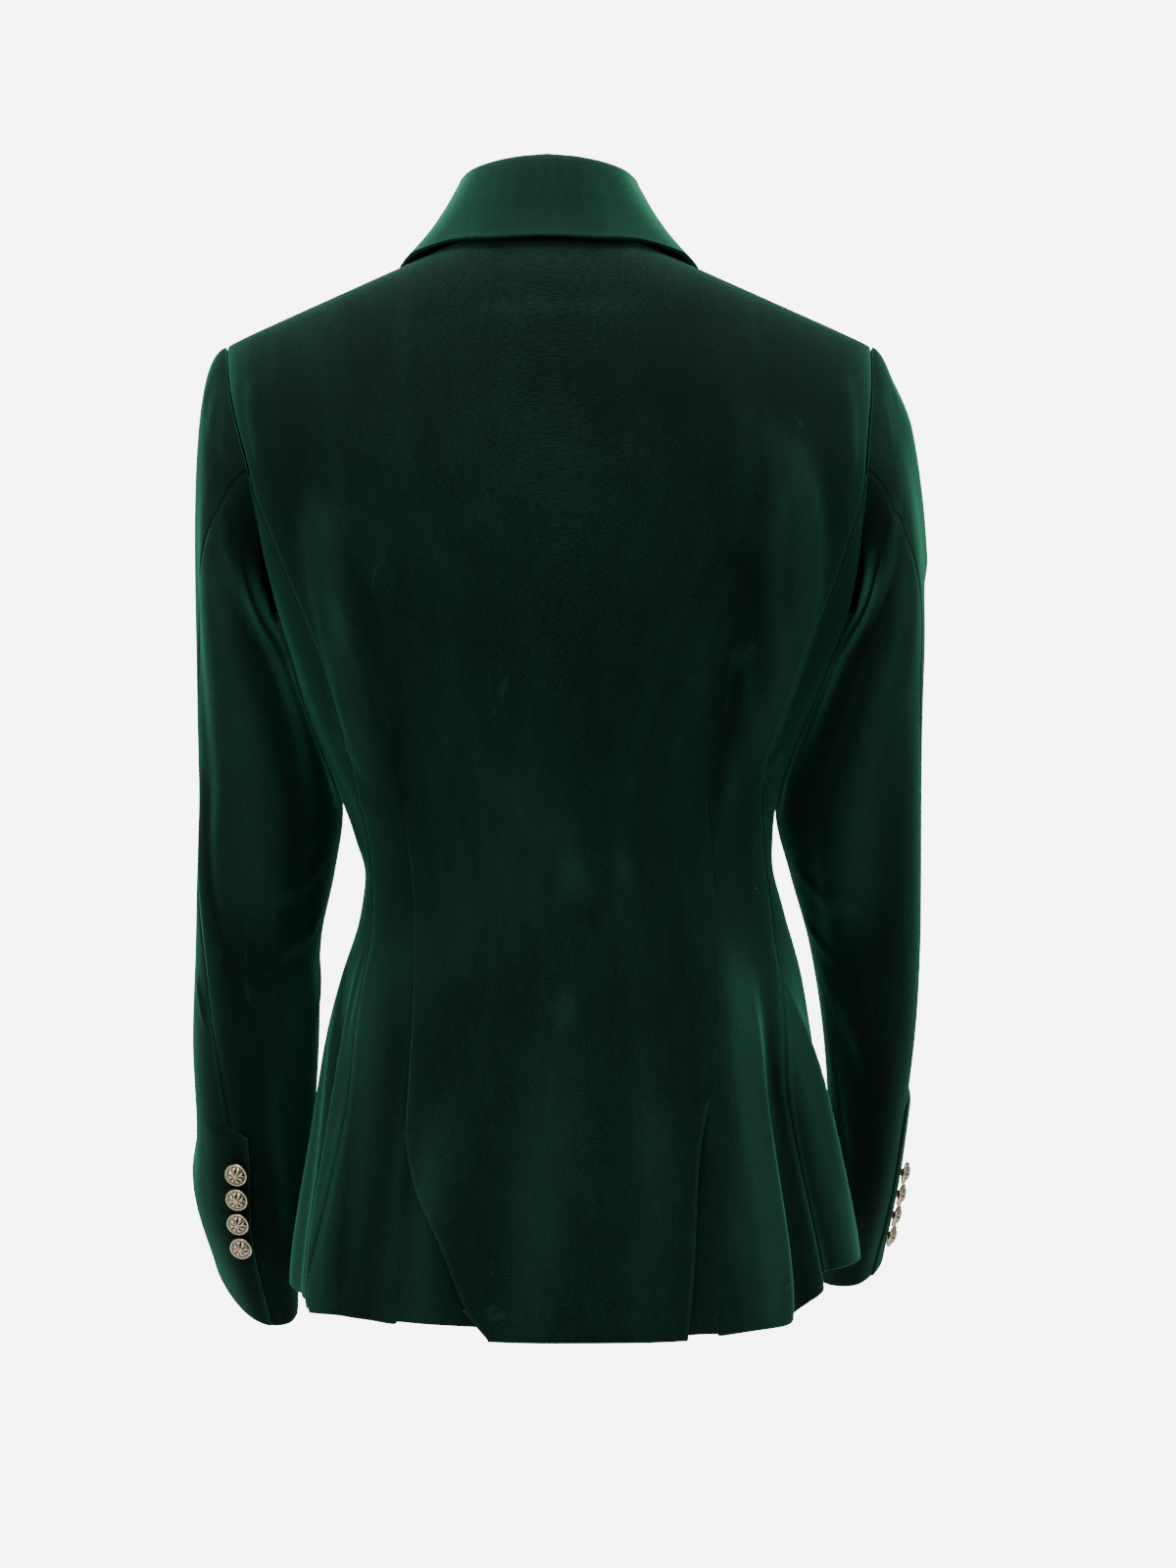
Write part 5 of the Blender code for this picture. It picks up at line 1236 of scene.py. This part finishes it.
def make_side(side, outer, inner):
    """Side panel, whose top is the lower part of the armhole."""
    part = parts_of(SIDE_COLUMNS, CLOSER)
    rise = np.linspace(0, 1, SIDE_ROWS)[:, None]
    turn = mix(SIDE_SEAM_TURN, FRONT_SEAM_TURN, part)
    lifted = read(SIDE_HEM, WORD[side], part) / (UNDERARM - HEM)
    bottom = np.maximum(mix(hung(side, 1.0, -1.0), -1.0, part), lifted - 1.0)
    climb = mix(bottom, read(ARMHOLE, "climb", turn), rise)
    angle = mix(side_seam_angle(side, climb), side * read(FRONT_SEAM_ANGLE, "angle", climb), part)
    blend = smooth((rise - SIDE_BLEND_FROM) / (1 - SIDE_BLEND_FROM))
    blend = blend * smooth(np.minimum(part, 1 - part) / SIDE_BLEND_EDGE)
    angle = mix(angle, side * read(ARMHOLE, "angle", turn), blend)
    places, nap, weave = body_grid(angle, climb)
    places, nap = seamed(places, nap, BODY_AXIS, ("left", "right", "top"))
    grids = [turned_up(places, nap, weave, BODY_AXIS)]
    return cloth(f"side_{WORD[side]}_cloth", grids, BODY_AXIS, outer, inner)


def make_front(side, outer, inner):
    """Front, from its seam with the side panel to the roll line and the front edge."""
    seam_top = read(ARMHOLE, "climb", FRONT_SEAM_TURN)
    on_seam = np.linspace(-1.0, seam_top, FRONT_SEAM_ROWS)
    rising = np.sin(np.linspace(math.asin(seam_top), math.pi / 2, FRONT_ARMHOLE_ROWS))[1:]
    climb = np.concatenate([on_seam, rising])[:, None]
    hole = side * read(ARMHOLE, "angle", armhole_turn(climb, FRONT_SEAM_TURN, 360.0))
    start = np.where(climb <= seam_top, side * read(FRONT_SEAM_ANGLE, "angle", climb), hole)
    end = front_edge_angle(side, climb)
    knee = mix(side * NECK_CORNER, mix(start, end, KNEE_PART), smooth(-climb * KNEE_TURN))
    angle = np.concatenate([mix(start, knee, parts_of(FRONT_COLUMNS, SEAM_CLOSER, "start")),
                            mix(knee, end, parts_of(EDGE_COLUMNS, EDGE_CLOSER, "end")[1:])], axis=1)
    places, nap, weave = body_grid(angle, climb, overlap_out(side, angle, climb))
    places, nap = seamed(places, nap, BODY_AXIS, ("left", "top"))
    grids = [turned_up(places, nap, weave, BODY_AXIS)]
    return cloth(f"front_{WORD[side]}_cloth", grids, BODY_AXIS, outer, inner)


# ---------------------------------------------------------------- lapels and collar

LAPEL_ROWS, ROLL_COLUMNS, LAPEL_COLUMNS = 110, 9, 44
LAPEL_START = 0.02          # part of the roll line below which there is no lapel
ROLL_CLEAR = 0.0005         # from the front's edge to the start of the roll
LAPEL_AXIS, COLLAR_AXIS = (0.0, 0.0, -0.2), (0.0, 0.02, 0.03)
COLLAR_COLUMNS = 181        # round the neck
COLLAR_BENDS = (0, 1.5, 5.2, 8.0)          # across: the stand, the roll and the fall, counted in places
STAND_ROWS, ROLL_ROWS, FALL_ROWS = 10, 20, 36
COLLAR_REACH, COLLAR_STEP = 0.132, 0.012   # half the collar's length, and the cloth from place to place


def make_lapel(side, outer, inner):
    """The turned-back part of a front: round the roll line, then flat on the chest."""
    part = np.linspace(LAPEL_START, 1.0, LAPEL_ROWS)[:, None]
    height = mix(BREAK_HEIGHT, GORGE_HEIGHT - GORGE_GAP, part)
    start = read(FRONT_EDGE, "reach", height) + ROLL_CLEAR
    lift = CLOTH + LAPEL_LIFT
    bend = np.linspace(0, math.pi, ROLL_COLUMNS)[:-1]
    across = parts_of(LAPEL_COLUMNS)
    reach = np.concatenate([start - lift / 2 * np.sin(bend),
                            start + read(LAPEL, "width", part) * across], axis=1)
    drop = np.concatenate([0 * part * bend, LAPEL_TOP_DROP * part * across], axis=1)
    out = np.concatenate([lift / 2 * (1 - np.cos(bend)) + 0 * part,
                          lift + LAPEL_BOW * np.sin(math.pi * across) + 0 * part], axis=1)
    places = on_front(side, reach, height - drop, out)
    # a little lighter all over, with a painted highlight along the lapel's edge
    nap = LAPEL_LIGHTER + LAPEL_EDGE_PAINTED_HIGHLIGHT * hump(run_from(places, "right"), LAPEL_LINE_WIDTH)
    weave = place_of(side * (reach + LAPEL_WEAVE), height - drop, 0.0)
    return cloth(f"lapel_{WORD[side]}_cloth", [(places, nap, weave)], LAPEL_AXIS, outer, inner)


def make_collar(outer, inner):
    """Stand and fall in one, from lapel to lapel round the back of the neck."""
    stations = COLLAR["station"] + [1.0]
    at = np.linspace(-1.0, 1.0, COLLAR_COLUMNS)
    low, roll, fall, edge = COLLAR_BENDS
    across = np.concatenate([np.linspace(low, roll, STAND_ROWS), np.linspace(roll, fall, ROLL_ROWS)[1:],
                             fall + (edge - fall) * parts_of(FALL_ROWS, EDGE_CLOSER, "end")[1:]])
    whole = []
    for side in (-1, 1):
        sections = [collar_section(np.float64(station), side) for station in COLLAR["station"]]
        sections.append(collar_end(side))
        here = np.abs(at[at * side >= 0])
        lines = np.array([read({"station": stations, "place": list(line)}, "place", here)
                          for line in zip(*sections)])
        whole.append(lines if side < 0 else lines[:, 1:])
    places = np.concatenate(whole, axis=1)
    falls = len(places) - len(FALL_PARTS)
    places[falls:] = kept_clear(places[falls:], COLLAR_CLEAR)
    rows = {"count": list(range(len(places))), "place": list(places.reshape(len(places), -1))}
    grid = read(rows, "place", across).reshape(len(across), -1, 3)
    # a little lighter all over, with a painted highlight along the collar's edge
    nap = COLLAR_LIGHTER + COLLAR_EDGE_PAINTED_HIGHLIGHT * hump(run_from(grid, "top"), COLLAR_LINE_WIDTH)
    weave = place_of(COLLAR_REACH * at[None, :] + COLLAR_WEAVE, across[:, None] * COLLAR_STEP, 0.0)
    return cloth("collar_cloth", [(grid, nap, weave)], COLLAR_AXIS, outer, inner, COLLAR_CLOTH)


# ---------------------------------------------------------------- sleeves

SLEEVE_DIP = 0.0006
# painted highlight beside a sleeve's seams
SLEEVE_SEAM_PAINTED_HIGHLIGHT = 0.18
SLEEVE_COLUMNS, CUFF_LAP_COLUMNS = 76, 14
CAP_ROWS, ARM_ROWS, CUFF_ROWS = 71, 96, 60
TOP_SLEEVE_START = (-110.0, 70.0)          # turns between which a top sleeve meets the armhole
UNDER_SLEEVE_START = (70.0, 250.0)
CUFF_RAMP = 0.010           # part of the length over which the lap opens
CUFF_LIFT_RAMP = 0.012
LIFT_FROM = 0.8             # part of the top sleeve's width from which the lap lifts it


def sleeve_axis(side):
    return (side * 0.185, -0.02, -0.38)


def sleeve_alongs():
    return np.concatenate([np.linspace(0.0, CAP_END, CAP_ROWS),
                           np.linspace(CAP_END, CUFF_VENT_ALONG, ARM_ROWS)[1:]])


def cuff_alongs():
    return np.linspace(CUFF_VENT_ALONG, 1.0, CUFF_ROWS)


def hem_first(places, nap, weave):
    """A grid of a sleeve turned over, so that its rows start at the cuff."""
    return [np.flip(grid, axis=0) for grid in (places, nap, weave)]


def make_top_sleeve(side, outer, inner):
    """Top sleeve, which laps over the under sleeve at the cuff's vent."""
    part = parts_of(SLEEVE_COLUMNS, CLOSER)
    grids = []
    for alongs, cuff in ((sleeve_alongs(), False), (cuff_alongs(), True)):
        along = alongs[:, None]
        hind, fore = seam_turns(side, along)
        turn = mix(mix(*TOP_SLEEVE_START, part), mix(fore, hind, part), smooth(along / CAP_END))
        out = 0 * turn
        if cuff:
            lift = CUFF_LIFT * smooth((along - CUFF_VENT_ALONG) / CUFF_LIFT_RAMP)
            lap = parts_of(CUFF_LAP_COLUMNS, EDGE_CLOSER, "end")[1:]
            reach = CUFF_LAP_DEGREES * smooth((along - CUFF_VENT_ALONG) / CUFF_RAMP)
            turn = np.concatenate([turn, hind + reach * lap], axis=1)
            rising = smooth((part - LIFT_FROM) / (1 - LIFT_FROM))
            out = np.concatenate([lift * rising, lift + 0 * lap], axis=1)
        places, nap, weave = sleeve_grid(side, turn, along, out)
        seams = ("left",) if cuff else ("left", "right")
        places, nap = seamed(places, nap, sleeve_axis(side), seams, SLEEVE_DIP, SLEEVE_SEAM_PAINTED_HIGHLIGHT)
        if cuff:
            # painted highlight along the edge of the lap at the cuff
            nap = nap + CUFF_EDGE_PAINTED_HIGHLIGHT * hump(run_from(places, "right"), CUFF_LINE_WIDTH)
        grid = hem_first(places, nap, weave)
        grids.append(turned_up(*grid, sleeve_axis(side)) if cuff else grid)
    return cloth(f"top_sleeve_{WORD[side]}_cloth", grids, sleeve_axis(side), outer, inner)


def make_under_sleeve(side, outer, inner):
    part = parts_of(SLEEVE_COLUMNS, CLOSER)
    along = np.concatenate([sleeve_alongs(), cuff_alongs()[1:]])[:, None]
    hind, fore = seam_turns(side, along)
    hind = hind + CUFF_CLEAR_DEGREES * smooth((along - CUFF_VENT_ALONG) / CUFF_RAMP)
    turn = mix(mix(*UNDER_SLEEVE_START, part), mix(hind, fore + 360, part), smooth(along / CAP_END))
    places, nap, weave = sleeve_grid(side, turn, along)
    places, nap = seamed(places, nap, sleeve_axis(side), ("left", "right"), SLEEVE_DIP, SLEEVE_SEAM_PAINTED_HIGHLIGHT)
    grids = [turned_up(*hem_first(places, nap, weave), sleeve_axis(side))]
    return cloth(f"under_sleeve_{WORD[side]}_cloth", grids, sleeve_axis(side), outer, inner)


# ---------------------------------------------------------------- buttons

# Half section of a button from the middle of its dome to the middle of its shank, in parts of its radius
BUTTON_PROFILE = (
    (0.0, 0.80), (0.10, 0.80), (0.20, 0.79), (0.30, 0.77), (0.40, 0.745), (0.50, 0.71), (0.60, 0.665),
    (0.68, 0.615), (0.74, 0.56), (0.78, 0.53), (0.82, 0.545), (0.88, 0.575), (0.94, 0.56), (0.985, 0.50),
    (1.0, 0.42), (0.98, 0.34), (0.90, 0.28), (0.70, 0.24), (0.34, 0.20), (0.32, 0.0), (0.0, 0.0),
)
BUTTON_STEPS = 64
BACK_OF_BUTTON = 0.3        # below this nothing is raised
BUTTON_WELD = 0.000005
BUTTON_CORNER = 55          # degrees from which an edge of a button is sharp
BUTTON_STEP_ROUND, BUTTON_STEP_ALONG = 3, 0.01     # over which the way that a sleeve faces is taken
PETALS = 8
PETAL_START, PETAL_END, PETAL_RISE, PETAL_LEVEL = 0.16, 0.74, 0.150, 0.55
PETAL_START_SOFT, PETAL_END_SOFT = 0.12, 0.14
HEART_END, HEART_SOFT, HEART_RISE = 0.20, 0.05, 0.045        # the knob in the middle of the flower
CORD_START, CORD_SOFT, CORD_RISE = 0.80, 0.05, 0.040         # the rim
CORD_TWISTS, CORD_LEAN = 26, 9


def button(name, radius, place, facing, metal):
    """A domed shank button with a corded rim and a plain flower of eight petals."""
    shape = bmesh.new()
    verts = [shape.verts.new((across * radius, 0, up * radius)) for across, up in BUTTON_PROFILE]
    edges = [shape.edges.new(pair) for pair in zip(verts, verts[1:])]
    bmesh.ops.spin(shape, geom=verts + edges, cent=(0, 0, 0), axis=(0, 0, 1), angle=2 * math.pi,
                   steps=BUTTON_STEPS, use_merge=True)
    bmesh.ops.remove_doubles(shape, verts=shape.verts, dist=BUTTON_WELD)
    bmesh.ops.recalc_face_normals(shape, faces=shape.faces)
    for vert in shape.verts:
        if vert.co.z < BACK_OF_BUTTON * radius:
            continue
        across = math.hypot(vert.co.x, vert.co.y) / radius
        turn = math.atan2(vert.co.y, vert.co.x)
        petal = abs(math.cos(PETALS / 2 * turn)) - PETAL_LEVEL
        bloom = smooth((across - PETAL_START) / PETAL_START_SOFT)
        bloom = bloom * smooth((PETAL_END - across) / PETAL_END_SOFT)
        heart = HEART_RISE * smooth((HEART_END - across) / HEART_SOFT)
        cord = math.sin(CORD_TWISTS * turn + CORD_LEAN * across)
        cord = smooth((across - CORD_START) / CORD_SOFT) * cord
        vert.co.z += radius * (bloom * PETAL_RISE * petal + heart)
        vert.co.z += radius * CORD_RISE * cord
    turning = Vector((0, 0, 1)).rotation_difference(facing).to_matrix().to_4x4()
    bmesh.ops.transform(shape, matrix=Matrix.Translation(place + facing * SEAM_GAP) @ turning,
                        verts=shape.verts)
    mesh = mesh_of(name, shape, metal)
    mesh.set_sharp_from_angle(angle=math.radians(BUTTON_CORNER))
    return shown(name, mesh)


def make_cuff_buttons(side, metal):
    """Four buttons down the lap of a cuff's vent."""
    word, pieces = WORD[side], []
    for count in range(CUFF_BUTTONS):
        along = np.float64(BUTTON_START[side] + count * CUFF_BUTTON_PITCH / SLEEVE_LENGTH)
        turn = seam_turns(side, along)[0] + BUTTON_TURN
        here = sleeve(side, turn, along, CUFF_LIFT)
        around = (sleeve(side, turn + BUTTON_STEP_ROUND, along, CUFF_LIFT)
                  - sleeve(side, turn - BUTTON_STEP_ROUND, along, CUFF_LIFT))
        down = (sleeve(side, turn, along + BUTTON_STEP_ALONG, CUFF_LIFT)
                - sleeve(side, turn, along - BUTTON_STEP_ALONG, CUFF_LIFT))
        facing = unit(np.cross(around, down))
        if np.dot(facing, here - sleeve_axis(side)) < 0:
            facing = -facing
        name, place = f"button_{word}_{count + 1}", Vector(here + facing * CLOTH)
        piece = button(name, CUFF_BUTTON_RADIUS, place, Vector(facing), metal)
        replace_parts(piece, f"cuff_button_{word}_{count + 1}")
        pieces.append(piece)
    return pieces


def make_front_button(metal):
    """The button of the front, at the centre front on the right one."""
    angle = np.float64(-180.0)
    climb = climb_at(angle, FRONT_BUTTON_HEIGHT)
    facing = normal_of(angle, climb)
    place = body(angle, climb, overlap_out(-1, angle, climb) + CLOTH)
    piece = button("button_front", FRONT_BUTTON_RADIUS, Vector(place), Vector(facing), metal)
    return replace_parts(piece, "front_button")


# ---------------------------------------------------------------- finishes

# Layers of the pile. Each is a noise: its stretch over the weave, scale, detail, roughness and twist.
# Then the band of it that is spread out, what to, and how much lighter that makes the pile.
PILE_LAYERS = {
    "streaks": ((1.0, 0.16, 1.0), 42.0, 3.0, 0.55, 0.4, (0.30, 0.72, -0.5, 0.5), 0.12),
    "clouds": ((1.0, 0.55, 1.0), 11.0, 2.0, 0.5, 0.6, (0.30, 0.70, -0.5, 0.5), 0.13),
    "brushed": ((1.0, 0.30, 1.0), 170.0, 4.0, 0.65, 0.8, (0.32, 0.70, -0.5, 0.5), 0.09),
    "crushed": ((1.0, 0.45, 1.0), 26.0, 4.0, 0.6, 1.6, (0.66, 0.76, 0.0, 1.0), 0.34),
    "grain": ((1.0, 1.0, 1.0), 1100.0, 1.0, 0.5, 0.0, (0.25, 0.75, -0.5, 0.5), 0.26),
}
NAP_AND_PAINTED_LIGHT_SHARE = 0.60            # and how much the nap and painted light make it so
PILE_RELIEF = {"grain": 0.30, "clouds": 1.2, "crushed": 0.5}
PILE_ROUGHNESS = (0.95, 0.78)              # of dark and of light pile
LINT_SCALE = 17.0
LINT_EDGE = (0.010, 0.018)
LINT_CHOICE = (0.93, 0.95)                 # how few of the places have lint
LINT_STRENGTH = 0.35
LINT_COLOUR = (0.30, 0.36, 0.32, 1.0)
GREEN_SHEEN = (0.10, 0.62, 0.36, 1)
BODY_PILE = {"Deep": (0.0014, 0.0080, 0.0052, 1), "Light": (0.0095, 0.0560, 0.0340, 1), "Lift": 0.20}
COLLAR_PILE = {"Deep": (0.0022, 0.0130, 0.0082, 1), "Light": (0.0110, 0.0620, 0.0380, 1), "Lift": 0.28}
LINING_COLOURS = (0.004, 0.018, 0.013, 1), (0.009, 0.036, 0.026, 1)
METAL_COLOURS = (0.060, 0.034, 0.016, 1), (0.78, 0.68, 0.48, 1)     # down in the relief, and on top


def fill(tree, node, sockets):
    """Gives each socket its number or colour, or the output that feeds it."""
    for name, value in sockets.items():
        if isinstance(value, bpy.types.NodeSocket):
            tree.links.new(value, node.inputs[name])
        else:
            node.inputs[name].default_value = value


def add(tree, kind, sockets, **settings):
    """A node with its settings and sockets, and with its outputs at hand."""
    node = tree.nodes.new("ShaderNode" + kind)
    for name, value in settings.items():
        setattr(node, name, value)
    fill(tree, node, sockets)
    return node.outputs


def spread_out(tree, value, low, high, to_low, to_high, interpolation="SMOOTHSTEP"):
    sockets = {"Value": value, "From Min": low, "From Max": high, "To Min": to_low, "To Max": to_high}
    return add(tree, "MapRange", sockets, interpolation_type=interpolation)["Result"]


def joined(tree, kind, a, b):
    return add(tree, "Math", {0: a, 1: b}, operation=kind)["Value"]


def blended(tree, part, a, b):
    return add(tree, "Mix", {"Factor": part, "A": a, "B": b}, data_type="RGBA")["Result"]


def given_by(tree, name, output):
    """An attribute that the cloth's own points carry."""
    return add(tree, "Attribute", {}, attribute_name=name)[output]


def pile_group():
    """Velvet pile: lighter or darker by the nap and painted light it is given (painted highlights and
    painted shade), where it is brushed or crushed, grain and lint.
    """
    group = bpy.data.node_groups.new("velvet pile", "ShaderNodeTree")
    for way, sockets in (("INPUT", (("Weave", "Vector"), ("Nap", "Float"), ("Deep", "Color"),
                                    ("Light", "Color"), ("Lift", "Float"))),
                         ("OUTPUT", (("Color", "Color"), ("Roughness", "Float"), ("Height", "Float")))):
        for name, kind in sockets:
            group.interface.new_socket(name=name, in_out=way, socket_type="NodeSocket" + kind)
    given = group.nodes.new("NodeGroupInput").outputs
    made = group.nodes.new("NodeGroupOutput")
    layers = {}
    # the nap and painted light: crushed pile, with painted highlights and painted shade
    pile_tone_and_painted_light = joined(group, "MULTIPLY", given["Nap"], NAP_AND_PAINTED_LIGHT_SHARE)
    for name, (stretch, scale, detail, rough, twist, band, share) in PILE_LAYERS.items():
        place = add(group, "Mapping", {"Vector": given["Weave"], "Scale": stretch})["Vector"]
        noise = add(group, "TexNoise", {"Vector": place, "Scale": scale, "Detail": detail,
                                        "Roughness": rough, "Distortion": twist})["Fac"]
        layers[name] = spread_out(group, noise, *band)
        pile_tone_and_painted_light = joined(group, "ADD", pile_tone_and_painted_light, joined(group, "MULTIPLY", layers[name], share))
    pile_tone_and_painted_light = joined(group, "ADD", pile_tone_and_painted_light, given["Lift"])
    pile_tone_and_painted_light = add(group, "Clamp", {"Value": pile_tone_and_painted_light})["Result"]
    colour = blended(group, pile_tone_and_painted_light, given["Deep"], given["Light"])

    lint = add(group, "TexVoronoi", {"Vector": given["Weave"], "Scale": LINT_SCALE})
    chosen = add(group, "SeparateColor", {"Color": lint["Color"]})["Red"]
    speck = spread_out(group, lint["Distance"], *LINT_EDGE, 1.0, 0.0)
    rare = spread_out(group, chosen, *LINT_CHOICE, 0.0, LINT_STRENGTH)
    colour = blended(group, joined(group, "MULTIPLY", speck, rare), colour, LINT_COLOUR)

    height = 0.0
    for name, share in PILE_RELIEF.items():
        height = joined(group, "ADD", height, joined(group, "MULTIPLY", layers[name], share))
    rough = spread_out(group, pile_tone_and_painted_light, 0.0, 1.0, *PILE_ROUGHNESS)
    fill(group, made, {"Color": colour, "Roughness": rough, "Height": height})
    return group


def shader_of(name):
    finish = bpy.data.materials.new(name)
    finish.use_nodes = True
    return finish, finish.node_tree, finish.node_tree.nodes["Principled BSDF"]


def velvet(name, pile, colours, sheen, sheen_roughness):
    """Velvet: the pile with a green sheen where it is seen from the side."""
    finish, tree, shader = shader_of(name)
    # the nap and painted light of the cloth: crushed pile, with painted highlights and painted shade
    weave, nap = given_by(tree, "weave", "Vector"), given_by(tree, "nap", "Fac")
    group = add(tree, "Group", {"Weave": weave, "Nap": nap, **colours}, node_tree=pile)
    bump = add(tree, "Bump", {"Height": group["Height"], "Strength": 0.6, "Distance": 0.0006})
    fill(tree, shader, {
        "Base Color": group["Color"], "Roughness": group["Roughness"], "Normal": bump["Normal"],
        "Specular IOR Level": 0.12, "Sheen Weight": sheen, "Sheen Roughness": sheen_roughness,
        "Sheen Tint": GREEN_SHEEN,
    })
    return finish


def satin(name):
    """Lining: a smooth twill with a soft gloss."""
    finish, tree, shader = shader_of(name)
    weave = given_by(tree, "weave", "Vector")
    turned = add(tree, "Mapping", {"Vector": weave, "Rotation": (0, 0, math.radians(38))})["Vector"]
    twill = add(tree, "TexWave", {"Vector": turned, "Scale": 420.0, "Distortion": 0.6})["Fac"]
    cockle = add(tree, "TexNoise", {"Vector": weave, "Scale": 30.0, "Detail": 3.0})["Fac"]
    soft = add(tree, "Bump", {"Height": cockle, "Strength": 0.5, "Distance": 0.0012})["Normal"]
    ribs = add(tree, "Bump", {"Height": twill, "Strength": 0.15, "Distance": 0.0001, "Normal": soft})
    fill(tree, shader, {
        "Base Color": blended(tree, cockle, *LINING_COLOURS),
        "Roughness": spread_out(tree, twill, 0.0, 1.0, 0.36, 0.50, "LINEAR"), "Normal": ribs["Normal"],
    })
    return finish


def plated(name):
    """Pale gold button metal, dark down in the relief."""
    finish, tree, shader = shader_of(name)
    worn = add(tree, "TexNoise", {"Vector": add(tree, "TexCoord", {})["Object"], "Scale": 900.0,
                                  "Detail": 3.0})["Fac"]
    hollow = add(tree, "NewGeometry", {})["Pointiness"]
    relief = spread_out(tree, hollow, 0.46, 0.53, 0.0, 1.0, "LINEAR")
    fill(tree, shader, {
        "Base Color": blended(tree, relief, *METAL_COLOURS), "Metallic": 1.0,
        "Roughness": spread_out(tree, worn, 0.0, 1.0, 0.16, 0.34, "LINEAR"),
    })
    return finish


pile = pile_group()
body_velvet = velvet("velvet", pile, BODY_PILE, sheen=0.48, sheen_roughness=0.36)
collar_velvet = velvet("collar velvet", pile, COLLAR_PILE, sheen=0.65, sheen_roughness=0.42)
lining = satin("lining")
metal = plated("button metal")

# ---------------------------------------------------------------- the blazer


def dressed(piece, nodes):
    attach(piece, "root")
    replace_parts(piece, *nodes)
    return piece


back = make_back(body_velvet, lining)
dressed(back, ["back"])
for side, word in WORD.items():
    panel = make_side(side, body_velvet, lining)
    dressed(panel, [f"side_{word}"])
    front = make_front(side, body_velvet, lining)
    dressed(front, [f"front_{word}"])
    lapel = make_lapel(side, collar_velvet, collar_velvet)
    dressed(lapel, [f"lapel_{word}"])
    top_sleeve = make_top_sleeve(side, body_velvet, lining)
    dressed(top_sleeve, [f"top_sleeve_{word}"])
    under_sleeve = make_under_sleeve(side, body_velvet, lining)
    dressed(under_sleeve, [f"under_sleeve_{word}"])
    for piece in make_cuff_buttons(side, metal):
        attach(piece, "root")
collar = make_collar(collar_velvet, collar_velvet)
dressed(collar, ["collar"])
front_button = make_front_button(metal)
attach(front_button, "root")

# ---------------------------------------------------------------- floor, light and camera

FLOOR = -1.42
FLOOR_HALF = 14.0
BACKDROP = 7.0              # how bright the white behind the blazer looks to the camera
FLOOR_GLOW = BACKDROP - 0.5                # and what the floor adds to the light on it to match
ROOM_LIGHT = 0.25           # light that comes from all round
LIGHTS = (                  # name, place, what it aims at, width and height, watts
    ("key", (0.5, 2.4, 1.5), (0, 0, -0.25), (1.4, 1.0), 27),
    ("overhead", (0.0, 0.25, 1.7), (0, 0, -0.2), (1.4, 1.2), 58),
    ("left", (2.2, 0.9, 0.2), (0, 0, -0.3), (0.8, 1.6), 5),
    ("right", (-2.2, 0.9, 0.2), (0, 0, -0.3), (0.8, 1.6), 2),
    ("front", (0.2, -2.4, 1.2), (0, 0, -0.3), (1.6, 1.2), 26),
)
CAMERA_PLACE = (-0.024, 1.6, -0.323)       # level with the waist, straight behind the blazer
LENS_MM, SENSOR_MM = 60.0, 36.0


def make_floor():
    shape = bmesh.new()
    bmesh.ops.create_grid(shape, x_segments=8, y_segments=8, size=FLOOR_HALF)
    bmesh.ops.translate(shape, vec=(0, 0, FLOOR), verts=shape.verts)
    finish, tree, shader = shader_of("pale floor")
    seen = add(tree, "LightPath", {})["Is Camera Ray"]
    fill(tree, shader, {
        "Base Color": (0.86, 0.86, 0.85, 1), "Roughness": 0.9, "Emission Color": (1, 1, 1, 1),
        "Emission Strength": joined(tree, "MULTIPLY", seen, FLOOR_GLOW),
    })
    floor = shown("floor", mesh_of("floor", shape, finish))


def make_light(name, place, target, size, watts):
    lamp = bpy.data.lights.new(name, "AREA")
    lamp.shape = "RECTANGLE"
    lamp.size, lamp.size_y = size
    lamp.energy = watts
    holder = shown(name, lamp)
    holder.location = place
    aim = Vector(target) - Vector(place)
    holder.rotation_euler = aim.to_track_quat("-Z", "Y").to_euler()


def make_world():
    """White to the camera, and a weak even light on the blazer."""
    world = bpy.data.worlds.new("studio")
    world.use_nodes = True
    bpy.context.scene.world = world
    tree = world.node_tree
    white = (1, 1, 1, 1)
    room = tree.nodes["Background"]
    fill(tree, room, {"Color": white, "Strength": ROOM_LIGHT})
    behind = add(tree, "Background", {"Color": white, "Strength": BACKDROP})["Background"]
    seen = add(tree, "LightPath", {})["Is Camera Ray"]
    choice = add(tree, "MixShader", {"Fac": seen, 1: room.outputs["Background"], 2: behind})["Shader"]
    fill(tree, tree.nodes["World Output"], {"Surface": choice})


def make_camera():
    lens = bpy.data.cameras.new("camera")
    lens.lens = LENS_MM
    lens.sensor_width = SENSOR_MM
    camera = shown("camera", lens)
    camera.location = CAMERA_PLACE
    camera.rotation_euler = (math.radians(90), 0, math.radians(180))
    bpy.context.scene.camera = camera


make_floor()
for row in LIGHTS:
    make_light(*row)
make_world()
make_camera()
